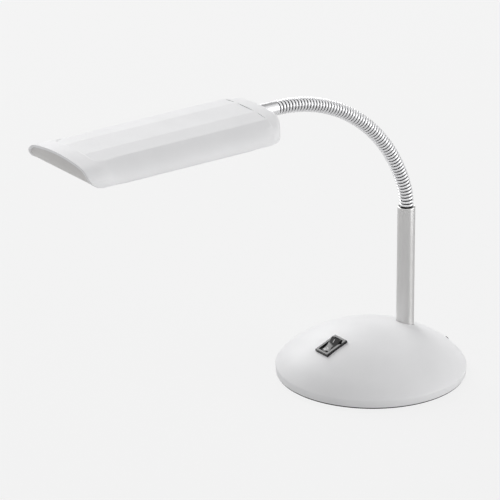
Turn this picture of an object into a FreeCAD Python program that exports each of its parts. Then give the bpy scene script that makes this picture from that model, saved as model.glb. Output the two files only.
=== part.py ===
import FreeCAD, Part
import math
import os

# Gooseneck desk lamp. Millimetres, +Z up, origin on the table under the centre of the base.
# The lamp is built about the plane X = 0: the pole stands at +Y and the head reaches towards -Y.

# Base shell: a low round dome over a short upright skirt
base_radius = 75.0
skirt_bottom = 1.2
skirt_taper = 0.5
rim_height = 6.9
dome_height = 38.4
dome_crown_radius = 112.0
dome_shoulder_width = 13.0
base_wall = 2.4

# Foot pad, bottom plate and ballast
foot_setback = 3.2
foot_thickness = 2.0
plate_thickness = 1.5
plate_gap = 0.3
weight_setback = 12.0
weight_thickness = 9.0
switch_window_width = 27.0
switch_window_front = -48.0
switch_window_rear = -22.0

# Screws that hold the plate to the shell
base_boss_setback = 20.0
base_boss_radius = 4.0
base_boss_gap = 0.5
base_screw_radius = 1.45
base_screw_tip = 13.0
base_screw_head_radius = 3.0
base_screw_head_height = 1.6
screw_hole_gap = 0.05
screw_pass_gap = 0.3

# Cord gland in the rear of the base
gland_height = 5.5
gland_bore_radius = 2.6
gland_body_radius = 3.5
gland_flange_radius = 4.0
gland_flange_thickness = 1.2
gland_length = 13.0
gland_boss_wall = 1.6
gland_fit_gap = 0.05
gland_notch_gap = 0.4

# Pole
pole_setback = 41.2
pole_radius = 7.0
pole_bore_radius = 5.9
pole_top = 131.0
pole_hole_gap = 0.3
pole_window_height = 25.0
pole_window_radius = 3.2

# Threaded foot of the pole, with its washer and nut under the ballast
nipple_collar_radius = 5.8
nipple_collar_length = 8.0
nipple_radius = 5.0
nipple_bore_radius = 3.0
nipple_end = 4.4
nipple_hole_gap = 0.2
nut_pocket_radius = 11.5
nut_pocket_depth = 5.0
washer_radius = 10.0
washer_thickness = 1.0
pole_nut_width = 14.0
pole_nut_thickness = 3.5

# Gooseneck: a curved row of ribbed links, each turning on the next
neck_radius = 5.75
neck_groove_radius = 4.9
neck_bore_radius = 3.2
neck_link_count = 21
ribs_per_link = 3
rib_pitch = 2.915
rib_width = 1.95
neck_low_bend_radius = 58.0
neck_low_bend_turn = 18.0
head_tilt = 1.0
bush_length = 16.0
bush_radius = 5.8
neck_lead_radius = 1.2

# Head: a long low dome, open at the front and closed below by a tray
head_half_width = 41.0
head_top = 7.3
head_bottom = -10.4
head_crown_radius = 155.0
head_shoulder_radius = 14.0
head_rear = 16.0
head_front = 202.4
head_rear_corner = 22.4
head_front_corner = 2.5
mouth_setback = 12.6
mouth_recess = 1.2
head_wall = 2.0

# Three flat facets let into the top of the head
panel_rear_setback = 13.3
panel_front_setback = 15.5
panel_half_width = 26.5
panel_middle_half_width = 12.2
panel_corner = 7.0
panel_step = 0.2

# Tray, diffuser and their screws
tray_gap = 0.3
tray_thickness = 2.4
tray_end_wall = 2.0
window_side_margin = 13.0
window_end_margin = 13.5
window_corner = 5.0
diffuser_ledge = 2.5
diffuser_gap = 0.3
diffuser_thickness = 1.4
tray_screw_inset = 4.6
tray_screw_end_inset = 22.0
tray_screw_radius = 1.15
tray_screw_head_radius = 2.3
tray_screw_head_height = 1.2
tray_screw_length = 4.6
tray_boss_radius = 2.9

# LED board
led_board_margin = 5.0
led_board_end_margin = 6.0
led_board_top = 0.4
led_board_thickness = 1.6
led_screw_inset = 5.0
led_screw_end_inset = 8.0
led_screw_radius = 1.0
led_screw_head_radius = 1.9
led_screw_head_height = 1.1
led_screw_tip = 2.2
led_boss_radius = 2.6
led_row_x = 9.0
led_per_row = 14
led_length = 3.5
led_width = 2.8
led_height = 0.8
connector_width = 9.0
connector_length = 6.0
connector_height = 3.0
connector_inset = 5.0

# Sleeve that ends the gooseneck, held in the rear wall of the head by a nut
sleeve_spigot_radius = 4.5
sleeve_bore_radius = 2.4
spigot_spare = 1.2
spigot_hole_gap = 0.1
head_washer_radius = 5.1
head_washer_thickness = 0.8
head_nut_width = 10.0
head_nut_thickness = 3.5
thread_gap = 0.05

# Rocker switch, set square to the dome in front of the pole
switch_y = -39.4
switch_seat_depth = 0.5
bezel_length = 21.0
bezel_width = 15.0
bezel_thickness = 2.0
switch_body_length = 18.4
switch_body_width = 12.6
switch_body_depth = 13.0
switch_cavity_half_width = 5.2
switch_cavity_depth = 8.0
switch_hole_gap = 0.2
rocker_end_radius = 8.2
rocker_gap = 0.3
rocker_half_angle = 11.0
rocker_pivot_depth = 3.0
rocker_valley = 2.6
rocker_underside = -2.2
rocker_pin_radius = 1.2
rocker_pin_gap = 0.07
rocker_pin_reach = 0.8
blade_width = 4.6
blade_thickness = 0.8
blade_length = 6.0
blade_spacing = 9.0

# Driver board on its standoffs over the ballast
board_length = 52.0
board_width = 32.0
board_thickness = 1.6
standoff_height = 4.0
standoff_radius = 2.5
standoff_x = 22.0
standoff_y = 12.0
board_screw_radius = 1.2
board_screw_length = 4.5
board_screw_head_radius = 2.2
board_screw_head_height = 1.5
transformer_size = (17.0, 15.0, 11.0)
transformer_x = -8.0
capacitor_radius = 4.0
capacitor_height = 10.5
capacitor_x = 9.0
capacitor_y = 7.0
output_socket_size = (6.0, 9.0, 6.0)
output_socket_x = 20.0
input_socket_size = (6.0, 12.0, 6.0)
input_socket_x = -21.5

# Terminal block behind the pole
terminal_size = (20.0, 9.0, 12.5)
terminal_setback = 18.0
terminal_port_x = 5.0
terminal_screw_radius = 1.8
terminal_screw_depth = 2.0
terminal_notch_gap = 0.6

# Inner leads
mains_lead_radius = 0.9
run_share = 0.45
lead_over_weight = 1.7

# Radii and places that follow from the base's edge
skirt_bottom_radius = base_radius - skirt_taper
dome_shoulder_start = base_radius - dome_shoulder_width
foot_radius = base_radius - foot_setback
weight_radius = base_radius - weight_setback
base_boss_circle = base_radius - base_boss_setback
terminal_rear = base_radius - terminal_setback
pole_y = base_radius - pole_setback

# Heights that follow from the stack
plate_bottom = foot_thickness
plate_top = plate_bottom + plate_thickness
weight_top = plate_top + weight_thickness
board_bottom = weight_top + standoff_height
board_top = board_bottom + board_thickness

# Lengths that follow along the gooseneck
rib_gap = rib_pitch - rib_width
link_length = ribs_per_link * rib_pitch
neck_length = neck_link_count * link_length
neck_start = pole_top + rib_gap / 2
low_bend_length = neck_low_bend_radius * math.radians(neck_low_bend_turn)
neck_turn = 90.0 - head_tilt
neck_high_bend_radius = (neck_length - low_bend_length) / math.radians(neck_turn - neck_low_bend_turn)

# Places that follow along the head
tray_top = head_bottom + tray_thickness
mouth_line = head_front - mouth_setback
tray_half_width = head_half_width - head_wall - tray_gap
tray_rear = head_rear + head_wall + tray_gap
panel_rear = head_rear + panel_rear_setback
panel_front = head_front - panel_front_setback
window_half_width = head_half_width - window_side_margin
window_rear = tray_rear + window_end_margin
window_front = mouth_line - tray_end_wall - window_end_margin
led_board_half_width = window_half_width - led_board_margin
led_board_rear = window_rear + led_board_end_margin
led_board_front = window_front - led_board_end_margin
spigot_end = head_rear + head_wall + head_washer_thickness + head_nut_thickness + spigot_spare


def vec(x, y, z):
    return FreeCAD.Vector(x, y, z)


def block(x0, x1, y0, y1, z0, z1):
    return Part.makeBox(x1 - x0, y1 - y0, z1 - z0, vec(x0, y0, z0))


def rod(radius, x, y, z0, z1):
    """Upright cylinder."""
    return Part.makeCylinder(radius, z1 - z0, vec(x, y, z0), vec(0, 0, 1))


def rod_y(radius, x, z, y0, y1):
    """Cylinder along Y."""
    return Part.makeCylinder(radius, y1 - y0, vec(x, y0, z), vec(0, 1, 0))


def rod_x(radius, y, z, x0, x1):
    """Cylinder along X."""
    return Part.makeCylinder(radius, x1 - x0, vec(x0, y, z), vec(1, 0, 0))


def hexagon(width, x, y, z0, z1):
    """Upright hexagonal prism with two flats facing +X and -X."""
    corner = width / 2 / math.cos(math.pi / 6)
    angles = [math.radians(30 + 60 * i) for i in range(7)]
    wire = Part.makePolygon([vec(x + corner * math.cos(a), y + corner * math.sin(a), z0) for a in angles])
    return Part.Face(wire).extrude(vec(0, 0, z1 - z0))


def joined(shapes):
    first = shapes[0]
    return first.fuse(shapes[1:]).removeSplitter() if len(shapes) > 1 else first


def rounded_plan(x0, x1, y0, y1, z0, z1, low_corner, high_corner):
    """Block whose upright corners are rounded, one radius at each end along Y."""
    solid = block(x0, x1, y0, y1, z0, z1)
    low = [e for e in solid.Edges if upright_at(e, y0)]
    high = [e for e in solid.Edges if upright_at(e, y1)]
    if low_corner > 0:
        solid = solid.makeFillet(low_corner, low)
        high = [e for e in solid.Edges if upright_at(e, y1)]
    if high_corner > 0:
        solid = solid.makeFillet(high_corner, high)
    return solid


def upright_at(edge, y):
    a, b = edge.Vertexes[0].Point, edge.Vertexes[-1].Point
    upright = abs(a.x - b.x) < 1e-6 and abs(a.y - b.y) < 1e-6 and abs(a.z - b.z) > 1e-6
    return upright and abs(a.y - y) < 1e-6


def save(shape, node):
    solids = shape.Solids
    if not solids or not all(s.isValid() for s in solids):
        raise ValueError("bad solid in " + node)
    shape = solids[0] if len(solids) == 1 else Part.makeCompound(solids)
    shape.exportStep("parts/" + node + ".step")
    print(node, len(solids), "solid(s)", round(shape.Volume, 1), "mm3")


# Tubes along straight runs joined by tangent arcs

def corner_arc(before, corner, after):
    """Ends and middle of the arc that rounds one corner of a route, and its radius."""
    back = before - corner
    ahead = after - corner
    trim = run_share * min(back.Length, ahead.Length)
    back.normalize()
    ahead.normalize()
    half_turn = (math.pi - back.getAngle(ahead)) / 2
    radius = trim / math.tan(half_turn)
    middle_way = back + ahead
    middle_way.normalize()
    centre_distance = math.hypot(trim, radius)
    middle = corner + middle_way * (centre_distance - radius)
    return corner + back * trim, middle, corner + ahead * trim, radius


def route_wire(points):
    edges = []
    radii = []
    here = points[0]
    for before, corner, after in zip(points, points[1:], points[2:]):
        start, middle, end, radius = corner_arc(before, corner, after)
        edges.append(Part.LineSegment(here, start).toShape())
        edges.append(Part.Arc(start, middle, end).toShape())
        radii.append(round(radius, 1))
        here = end
    edges.append(Part.LineSegment(here, points[-1]).toShape())
    return Part.Wire(edges), radii


def swept(wire, radius, start, direction):
    ring = Part.Wire([Part.Circle(start, direction, radius).toShape()])
    return wire.makePipeShell([ring], True, False)


def lead(points, radius, name):
    """Lead along a route; its arc radii and its volume against section times length are printed."""
    points = [vec(*p) for p in points]
    wire, radii = route_wire(points)
    solid = swept(wire, radius, points[0], points[1] - points[0])
    share = solid.Volume / (math.pi * radius * radius * wire.Length)
    print(name, "arc radii", radii, "length", round(wire.Length, 1), "volume share", round(share, 3))
    return solid


# Base shell

def dome_arcs(inset):
    """Half outline of the dome from the rim to the crown, moved inwards by inset."""
    crown_centre_z = dome_height - dome_crown_radius
    start_angle = math.asin(dome_shoulder_start / dome_crown_radius)
    start_z = crown_centre_z + dome_crown_radius * math.cos(start_angle)
    fall = start_z - rim_height
    reach = base_radius - dome_shoulder_start
    bend = math.atan2(fall, reach) - start_angle
    shoulder_radius = math.hypot(fall, reach) / (2 * math.sin(bend))
    centre_r = dome_shoulder_start - shoulder_radius * math.sin(start_angle)
    centre_z = start_z - shoulder_radius * math.cos(start_angle)
    end_angle = math.asin((base_radius - inset - centre_r) / (shoulder_radius - inset))

    def shoulder(angle):
        r = shoulder_radius - inset
        return vec(centre_r + r * math.sin(angle), 0, centre_z + r * math.cos(angle))

    def crown(angle):
        r = dome_crown_radius - inset
        return vec(r * math.sin(angle), 0, crown_centre_z + r * math.cos(angle))

    middle = (start_angle + end_angle) / 2
    shoulder_arc = Part.Arc(shoulder(end_angle), shoulder(middle), shoulder(start_angle))
    crown_arc = Part.Arc(crown(start_angle), crown(start_angle / 2), crown(0))
    return shoulder_arc, crown_arc, shoulder(end_angle), crown(0)


def dome_solid(inset, bottom_radius, bottom):
    shoulder_arc, crown_arc, rim, top = dome_arcs(inset)
    low_edge = vec(bottom_radius, 0, bottom)
    axis_foot = vec(0, 0, bottom)
    edges = [
        Part.LineSegment(axis_foot, low_edge).toShape(),
        Part.LineSegment(low_edge, rim).toShape(),
        shoulder_arc.toShape(),
        crown_arc.toShape(),
        Part.LineSegment(top, axis_foot).toShape(),
    ]
    return Part.Face(Part.Wire(edges)).revolve(vec(0, 0, 0), vec(0, 0, 1), 360)


def dome_surface_z(y):
    return dome_height - dome_crown_radius + math.sqrt(dome_crown_radius ** 2 - y ** 2)


def base_boss_places():
    angles = [math.radians(45 + 90 * i) for i in range(4)]
    return [(base_boss_circle * math.cos(a), base_boss_circle * math.sin(a)) for a in angles]


def switch_place(shape):
    """Moves a shape from the switch's own axes, square to the dome, to its place in the lamp."""
    slope = math.degrees(math.asin(-switch_y / dome_crown_radius))
    turn = FreeCAD.Rotation(vec(1, 0, 0), slope)
    place = FreeCAD.Placement(vec(0, switch_y, dome_surface_z(switch_y)), turn)
    moved = shape.copy()
    moved.Placement = place.multiply(moved.Placement)
    return moved


def base_shell():
    outer = dome_solid(0, skirt_bottom_radius, skirt_bottom)
    inner = dome_solid(base_wall, base_radius - base_wall, skirt_bottom - 1)
    bosses = [rod(base_boss_radius, x, y, plate_top, dome_height).common(outer)
              for x, y in base_boss_places()]
    rear_boss = rod_y(gland_body_radius + gland_boss_wall, 0, gland_height,
                      base_radius - gland_length, base_radius)
    over_plate = block(-base_radius, base_radius, 0, base_radius, plate_top + plate_gap, dome_height)
    rear_boss = rear_boss.common(outer).common(over_plate)
    shell = joined([outer.cut(inner), rear_boss] + bosses)
    holes = [rod(base_screw_radius + screw_hole_gap, x, y, plate_top, base_screw_tip + 1)
             for x, y in base_boss_places()]
    holes.append(rod(pole_radius + pole_hole_gap, 0, pole_y, plate_top, dome_height))
    holes.append(rod_y(gland_body_radius + gland_fit_gap, 0, gland_height, base_radius - gland_length - 1,
                       base_radius + 1))
    half_length = bezel_length / 2 + switch_hole_gap
    half_width = bezel_width / 2 + switch_hole_gap
    seat = block(-half_width, half_width, -half_length, half_length, -switch_seat_depth, 10)
    half_length = switch_body_length / 2 + switch_hole_gap
    half_width = switch_body_width / 2 + switch_hole_gap
    window = block(-half_width, half_width, -half_length, half_length, -10, 10)
    holes += [switch_place(seat), switch_place(window)]
    return shell.cut(holes)


def foot_pad():
    pad = rod(foot_radius, 0, 0, 0, foot_thickness)
    holes = [rod(base_screw_head_radius + screw_pass_gap, x, y, -1, foot_thickness + 1)
             for x, y in base_boss_places()]
    return pad.cut(holes)


def base_plate():
    plate = rod(base_radius - base_wall - plate_gap, 0, 0, plate_bottom, plate_top)
    holes = [rod(base_screw_radius + screw_pass_gap, x, y, 0, weight_top) for x, y in base_boss_places()]
    half_notch = gland_body_radius + gland_notch_gap
    holes.append(block(-half_notch, half_notch, base_radius - gland_length - gland_notch_gap, base_radius,
                       0, weight_top))
    return plate.cut(holes)


def base_weight():
    weight = rod(weight_radius, 0, 0, plate_top, weight_top)
    cuts = [rod(base_boss_radius + base_boss_gap, x, y, 0, dome_height) for x, y in base_boss_places()]
    half_window = switch_window_width / 2
    cuts.append(block(-half_window, half_window, switch_window_front, switch_window_rear, 0, dome_height))
    cuts.append(rod(nipple_radius + nipple_hole_gap, 0, pole_y, 0, dome_height))
    cuts.append(rod(nut_pocket_radius, 0, pole_y, 0, plate_top + nut_pocket_depth))
    half_notch = terminal_size[0] / 2 + terminal_notch_gap
    notch_front = terminal_rear - terminal_size[1] - terminal_notch_gap
    cuts.append(block(-half_notch, half_notch, notch_front, base_radius, 0, dome_height))
    return weight.cut(cuts)


def base_screws():
    screws = []
    head_bottom_z = plate_bottom - base_screw_head_height
    for x, y in base_boss_places():
        head = rod(base_screw_head_radius, x, y, head_bottom_z, plate_bottom)
        shank = rod(base_screw_radius, x, y, plate_bottom, base_screw_tip)
        slot = block(x - 2, x + 2, y - 0.4, y + 0.4, head_bottom_z - 1, head_bottom_z + 0.8)
        screws.append(joined([head, shank]).cut(slot))
    return Part.makeCompound(screws)


def cord_gland():
    body = rod_y(gland_body_radius, 0, gland_height, base_radius - gland_length, base_radius)
    flange = rod_y(gland_flange_radius, 0, gland_height, base_radius, base_radius + gland_flange_thickness)
    bore = rod_y(gland_bore_radius, 0, gland_height, 0, base_radius + 10)
    return joined([body, flange]).cut(bore)


# Pole

def pole():
    tube = rod(pole_radius, 0, pole_y, weight_top, pole_top)
    bore = rod(pole_bore_radius, 0, pole_y, 0, pole_top + 1)
    window = rod_y(pole_window_radius, 0, pole_window_height, pole_y - pole_radius - 1, pole_y)
    rim = [e for e in tube.Edges if abs(e.BoundBox.ZMin - pole_top) < 1e-6 and e.BoundBox.ZLength < 1e-6]
    return tube.makeChamfer(0.4, rim).cut([bore, window])


def pole_nipple():
    collar = rod(nipple_collar_radius, 0, pole_y, weight_top, weight_top + nipple_collar_length)
    stud = rod(nipple_radius, 0, pole_y, nipple_end, weight_top)
    return joined([collar, stud]).cut(rod(nipple_bore_radius, 0, pole_y, 0, pole_top))


def washer_top():
    return plate_top + nut_pocket_depth


def pole_washer():
    disc = rod(washer_radius, 0, pole_y, washer_top() - washer_thickness, washer_top())
    return disc.cut(rod(nipple_radius + nipple_hole_gap, 0, pole_y, 0, pole_top))


def pole_nut():
    top = washer_top() - washer_thickness
    nut = hexagon(pole_nut_width, 0, pole_y, top - pole_nut_thickness, top)
    return nut.cut(rod(nipple_radius + thread_gap, 0, pole_y, 0, pole_top))


def neck_bush():
    top = pole_top - rib_gap / 2
    bush = rod(bush_radius, 0, pole_y, top - bush_length, top)
    return bush.cut(rod(neck_bore_radius, 0, pole_y, 0, pole_top))


# Gooseneck

def neck_point(distance):
    """Point of the gooseneck's centre line and its turn in degrees, from the pole's top."""
    low = min(max(distance, 0), low_bend_length)
    turn = low / neck_low_bend_radius
    y = pole_y - neck_low_bend_radius * (1 - math.cos(turn))
    z = neck_start + neck_low_bend_radius * math.sin(turn)
    if distance > low_bend_length:
        more = (distance - low_bend_length) / neck_high_bend_radius
        y -= neck_high_bend_radius * (math.cos(turn) - math.cos(turn + more))
        z += neck_high_bend_radius * (math.sin(turn + more) - math.sin(turn))
        turn += more
    return vec(0, y, z), math.degrees(turn)


def neck_circle(distance, radius):
    """Circle across the gooseneck; its own X axis stays along the lamp's X axis."""
    point, turn = neck_point(distance)
    ring = Part.Wire([Part.Circle(vec(0, 0, 0), vec(0, 0, 1), radius).toShape()])
    ring.Placement = FreeCAD.Placement(point, FreeCAD.Rotation(vec(1, 0, 0), turn))
    return ring


def neck_link(number):
    """One link: its ribs are ruled through four circles each and share a bore."""
    outside = []
    inside = []
    for rib in range(ribs_per_link):
        middle = (number * ribs_per_link + rib + 0.5) * rib_pitch
        flanks = [middle + rib_width * share for share in (-0.5, -0.25, 0.25, 0.5)]
        radii = (neck_groove_radius, neck_radius, neck_radius, neck_groove_radius)
        outside += [neck_circle(s, r) for s, r in zip(flanks, radii)]
        inside += [neck_circle(s, neck_bore_radius) for s in flanks]
    first = number * link_length
    inside = [neck_circle(first - rib_gap, neck_bore_radius)] + inside
    inside.append(neck_circle(first + link_length + rib_gap, neck_bore_radius))
    return Part.makeLoft(outside, True, True).cut(Part.makeLoft(inside, True, True))


def neck_lead():
    start, _ = neck_point(0)
    low_middle, _ = neck_point(low_bend_length / 2)
    low_end, _ = neck_point(low_bend_length)
    high_middle, _ = neck_point((low_bend_length + neck_length) / 2)
    end, _ = neck_point(neck_length)
    arcs = [Part.Arc(start, low_middle, low_end).toShape(), Part.Arc(low_end, high_middle, end).toShape()]
    wire = Part.Wire(arcs)
    solid = swept(wire, neck_lead_radius, start, vec(0, 0, 1))
    share = solid.Volume / (math.pi * neck_lead_radius ** 2 * wire.Length)
    print("neck_lead length", round(wire.Length, 1), "volume share", round(share, 3))
    return solid


# Head, in its own axes: the end of the gooseneck is the origin and the head reaches along -Y

def head_place(shape):
    point, _ = neck_point(neck_length)
    place = FreeCAD.Placement(point, FreeCAD.Rotation(vec(1, 0, 0), -head_tilt))
    moved = shape.copy()
    moved.Placement = place.multiply(moved.Placement)
    return moved


def head_section(inset, bottom, y_front, y_rear):
    """The head's low dome, moved inwards by inset, as a straight length along Y.

    The crown's arc runs on into a shoulder arc at each side, which ends upright.
    """
    shoulder_x = head_half_width - head_shoulder_radius
    span = head_crown_radius - head_shoulder_radius
    crown_z = head_top - head_crown_radius
    shoulder_z = crown_z + math.sqrt(span ** 2 - shoulder_x ** 2)
    turn = math.asin(shoulder_x / span)

    def crown(angle):
        radius = head_crown_radius - inset
        return vec(radius * math.sin(angle), y_front, crown_z + radius * math.cos(angle))

    def shoulder(side, angle):
        radius = head_shoulder_radius - inset
        x = side * (shoulder_x + radius * math.sin(angle))
        return vec(x, y_front, shoulder_z + radius * math.cos(angle))

    half = head_half_width - inset
    upright = math.pi / 2
    middle = (turn + upright) / 2
    edges = [
        Part.LineSegment(vec(-half, y_front, bottom), vec(half, y_front, bottom)).toShape(),
        Part.LineSegment(vec(half, y_front, bottom), shoulder(1, upright)).toShape(),
        Part.Arc(shoulder(1, upright), shoulder(1, middle), shoulder(1, turn)).toShape(),
        Part.Arc(crown(turn), crown(0), crown(-turn)).toShape(),
        Part.Arc(shoulder(-1, turn), shoulder(-1, middle), shoulder(-1, upright)).toShape(),
        Part.LineSegment(shoulder(-1, upright), vec(-half, y_front, bottom)).toShape(),
    ]
    return Part.Face(Part.Wire(edges)).extrude(vec(0, y_rear - y_front, 0))


def head_inside_z(x, inset):
    radius = head_crown_radius - inset
    return head_top - inset - radius + math.sqrt(radius ** 2 - x ** 2)


def head_side(setback, rise, low_corner):
    """The head seen from its side, set back and raised: a block whose low front edge sweeps back."""
    y_front = setback - head_front
    bottom = head_bottom + rise
    side = block(-head_half_width - 1, head_half_width + 1, y_front, -head_rear + 1, bottom, head_top + 1)
    low_front = [e for e in side.Edges
                 if e.BoundBox.XLength > head_half_width
                 and abs(e.BoundBox.YMax - y_front) < 1e-6 and abs(e.BoundBox.ZMax - bottom) < 1e-6]
    return side.makeFillet(low_corner, low_front)


def head_outer():
    section = head_section(0, head_bottom, -head_front, -head_rear)
    plan = rounded_plan(-head_half_width, head_half_width, -head_front, -head_rear,
                        head_bottom - 1, head_top + 1, head_front_corner, head_rear_corner)
    return section.common(plan).common(head_side(0, 0, mouth_setback))


def head_cavity(inset, y_front, y_rear, bottom):
    section = head_section(inset, bottom, y_front, y_rear)
    half = head_half_width - inset
    plan = rounded_plan(-half, half, y_front - 1, y_rear, bottom - 1, head_top + 1,
                        0, head_rear_corner - inset)
    return section.common(plan)


def panel_cut():
    """Space above the three facets; they lie a small step under the dome along their ridges."""
    def facet_z(x):
        return head_inside_z(x, 0) - panel_step

    stations = (-panel_half_width, -panel_middle_half_width, panel_middle_half_width, panel_half_width)
    points = [vec(x, -panel_front, facet_z(x)) for x in stations]
    points.append(vec(panel_half_width, -panel_front, head_top + 3))
    points.append(vec(-panel_half_width, -panel_front, head_top + 3))
    points.append(points[0])
    prism = Part.Face(Part.makePolygon(points)).extrude(vec(0, panel_front - panel_rear, 0))
    plan = rounded_plan(-panel_half_width, panel_half_width, -panel_front, -panel_rear,
                        head_bottom, head_top + 5, panel_corner, 1.0)
    return prism.common(plan)


def two_columns(half_spacing, rear, front):
    """Six places: three in each of two rows along the head."""
    stations = (rear, (rear + front) / 2, front)
    return [(side * half_spacing, -station) for side in (-1, 1) for station in stations]


def tray_screw_places():
    return two_columns(tray_half_width - tray_screw_inset, tray_rear + tray_screw_end_inset,
                       mouth_line - tray_screw_end_inset)


def tray_screw_tip():
    return tray_top + tray_screw_length


def led_screw_places():
    return two_columns(led_board_half_width - led_screw_inset, led_board_rear + led_screw_end_inset,
                       led_board_front - led_screw_end_inset)


def shade_shell():
    outer = head_outer()
    shell = outer.cut(head_cavity(head_wall, -head_front - 1, -head_rear - head_wall, head_bottom - 1))
    shell = shell.cut(panel_cut())
    bosses = []
    for x, y in tray_screw_places():
        top = head_inside_z(abs(x), head_wall / 2)
        bosses.append(rod(tray_boss_radius, x, y, tray_top, top))
    for x, y in led_screw_places():
        top = head_inside_z(abs(x) + led_boss_radius, head_wall / 2)
        bosses.append(rod(led_boss_radius, x, y, led_board_top, top))
    shell = joined([shell] + bosses)
    holes = [rod(tray_screw_radius + screw_hole_gap, x, y, head_bottom, tray_screw_tip() + 0.3)
             for x, y in tray_screw_places()]
    holes += [rod(led_screw_radius + screw_hole_gap, x, y, head_bottom, led_screw_tip + 0.3)
              for x, y in led_screw_places()]
    holes.append(rod_y(sleeve_spigot_radius + spigot_hole_gap, 0, 0, -head_rear - head_wall - 1, 0))
    return shell.cut(holes)


def tray_end(inset):
    """Curved end wall of the tray, which follows the sweep of the mouth a little way inside it."""
    low_corner = mouth_setback - mouth_recess
    face = head_side(mouth_recess, 0, low_corner)
    behind = head_side(mouth_recess + tray_end_wall, tray_end_wall, low_corner - tray_end_wall)
    ahead = block(-head_half_width, head_half_width, -head_front, -mouth_line + 1, head_bottom, head_top)
    return head_section(inset, head_bottom, -head_front, -head_rear).common(face.cut(behind)).common(ahead)


def lamp_tray():
    inset = head_wall + tray_gap
    plate = head_cavity(inset, -mouth_line, -head_rear - inset, head_bottom)
    plate = plate.common(block(-60, 60, -head_front, 0, head_bottom, tray_top))
    tray = joined([plate, tray_end(inset)])
    window = rounded_plan(-window_half_width, window_half_width, -window_front, -window_rear,
                          head_bottom - 1, tray_top + 1, window_corner, window_corner)
    ledge = diffuser_ledge + diffuser_gap
    rebate = rounded_plan(-window_half_width - ledge, window_half_width + ledge, -window_front - ledge,
                          -window_rear + ledge, tray_top - diffuser_thickness, tray_top + 1,
                          window_corner + ledge, window_corner + ledge)
    holes = [window, rebate]
    for x, y in tray_screw_places():
        holes.append(rod(tray_screw_radius + screw_pass_gap, x, y, head_bottom - 1, tray_top + 1))
        holes.append(rod(tray_screw_head_radius + screw_pass_gap, x, y, head_bottom - 1,
                         head_bottom + tray_screw_head_height))
    return tray.cut(holes)


def diffuser():
    ledge = diffuser_ledge
    return rounded_plan(-window_half_width - ledge, window_half_width + ledge, -window_front - ledge,
                        -window_rear + ledge, tray_top - diffuser_thickness, tray_top,
                        window_corner + ledge, window_corner + ledge)


def tray_screws():
    screws = []
    head_top_z = head_bottom + tray_screw_head_height
    for x, y in tray_screw_places():
        head = rod(tray_screw_head_radius, x, y, head_bottom + 0.1, head_top_z)
        shank = rod(tray_screw_radius, x, y, head_top_z, tray_screw_tip())
        slot = block(x - 1.5, x + 1.5, y - 0.3, y + 0.3, head_bottom - 1, head_bottom + 0.7)
        screws.append(joined([head, shank]).cut(slot))
    return Part.makeCompound(screws)


def led_board():
    board = block(-led_board_half_width, led_board_half_width, -led_board_front, -led_board_rear,
                  led_board_top - led_board_thickness, led_board_top)
    holes = [rod(led_screw_radius + screw_pass_gap, x, y, head_bottom, head_top)
             for x, y in led_screw_places()]
    return board.cut(holes)


def led_screws():
    screws = []
    under = led_board_top - led_board_thickness
    for x, y in led_screw_places():
        head = rod(led_screw_head_radius, x, y, under - led_screw_head_height, under)
        screws.append(joined([head, rod(led_screw_radius, x, y, under, led_screw_tip)]))
    return Part.makeCompound(screws)


def led_chips():
    under = led_board_top - led_board_thickness
    span = led_board_front - led_board_rear
    step = span / led_per_row
    chips = []
    for x in (-led_row_x, led_row_x):
        for i in range(led_per_row):
            y = -led_board_rear - (i + 0.5) * step
            chips.append(block(x - led_width / 2, x + led_width / 2, y - led_length / 2, y + led_length / 2,
                               under - led_height, under))
    return Part.makeCompound(chips)


def led_connector():
    rear = -connector_rear()
    return block(-connector_width / 2, connector_width / 2, rear - connector_length, rear,
                 led_board_top, led_board_top + connector_height)


def connector_rear():
    return led_board_rear + connector_inset


def neck_sleeve():
    collar = rod_y(neck_radius, 0, 0, -head_rear, -rib_gap / 2)
    spigot = rod_y(sleeve_spigot_radius, 0, 0, -spigot_end, -head_rear)
    return joined([collar, spigot]).cut(rod_y(sleeve_bore_radius, 0, 0, -spigot_end - 1, 1))


def head_washer():
    rear = -head_rear - head_wall
    disc = rod_y(head_washer_radius, 0, 0, rear - head_washer_thickness, rear)
    return disc.cut(rod_y(sleeve_spigot_radius + spigot_hole_gap, 0, 0, -40, 0))


def head_nut():
    rear = -head_rear - head_wall - head_washer_thickness
    nut = hexagon(head_nut_width, 0, 0, 0, head_nut_thickness)
    nut.rotate(vec(0, 0, 0), vec(1, 0, 0), 90)
    nut.rotate(vec(0, 0, 0), vec(0, 1, 0), 90)
    nut.translate(vec(0, rear, 0))
    return nut.cut(rod_y(sleeve_spigot_radius + thread_gap, 0, 0, -40, 0))


def head_lead():
    top = led_board_top + connector_height / 2
    points = [(0, 0, 0), (0, -spigot_end - 1, 0), (0, -spigot_end - 9, top), (0, -connector_rear(), top)]
    return lead(points, neck_lead_radius, "head_lead")


# Rocker switch, in its own axes: Z is square to the dome, Y runs uphill towards the pole

def bezel_top():
    return bezel_thickness - switch_seat_depth


def rocker_pivot_z():
    return bezel_top() - rocker_pivot_depth


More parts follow.
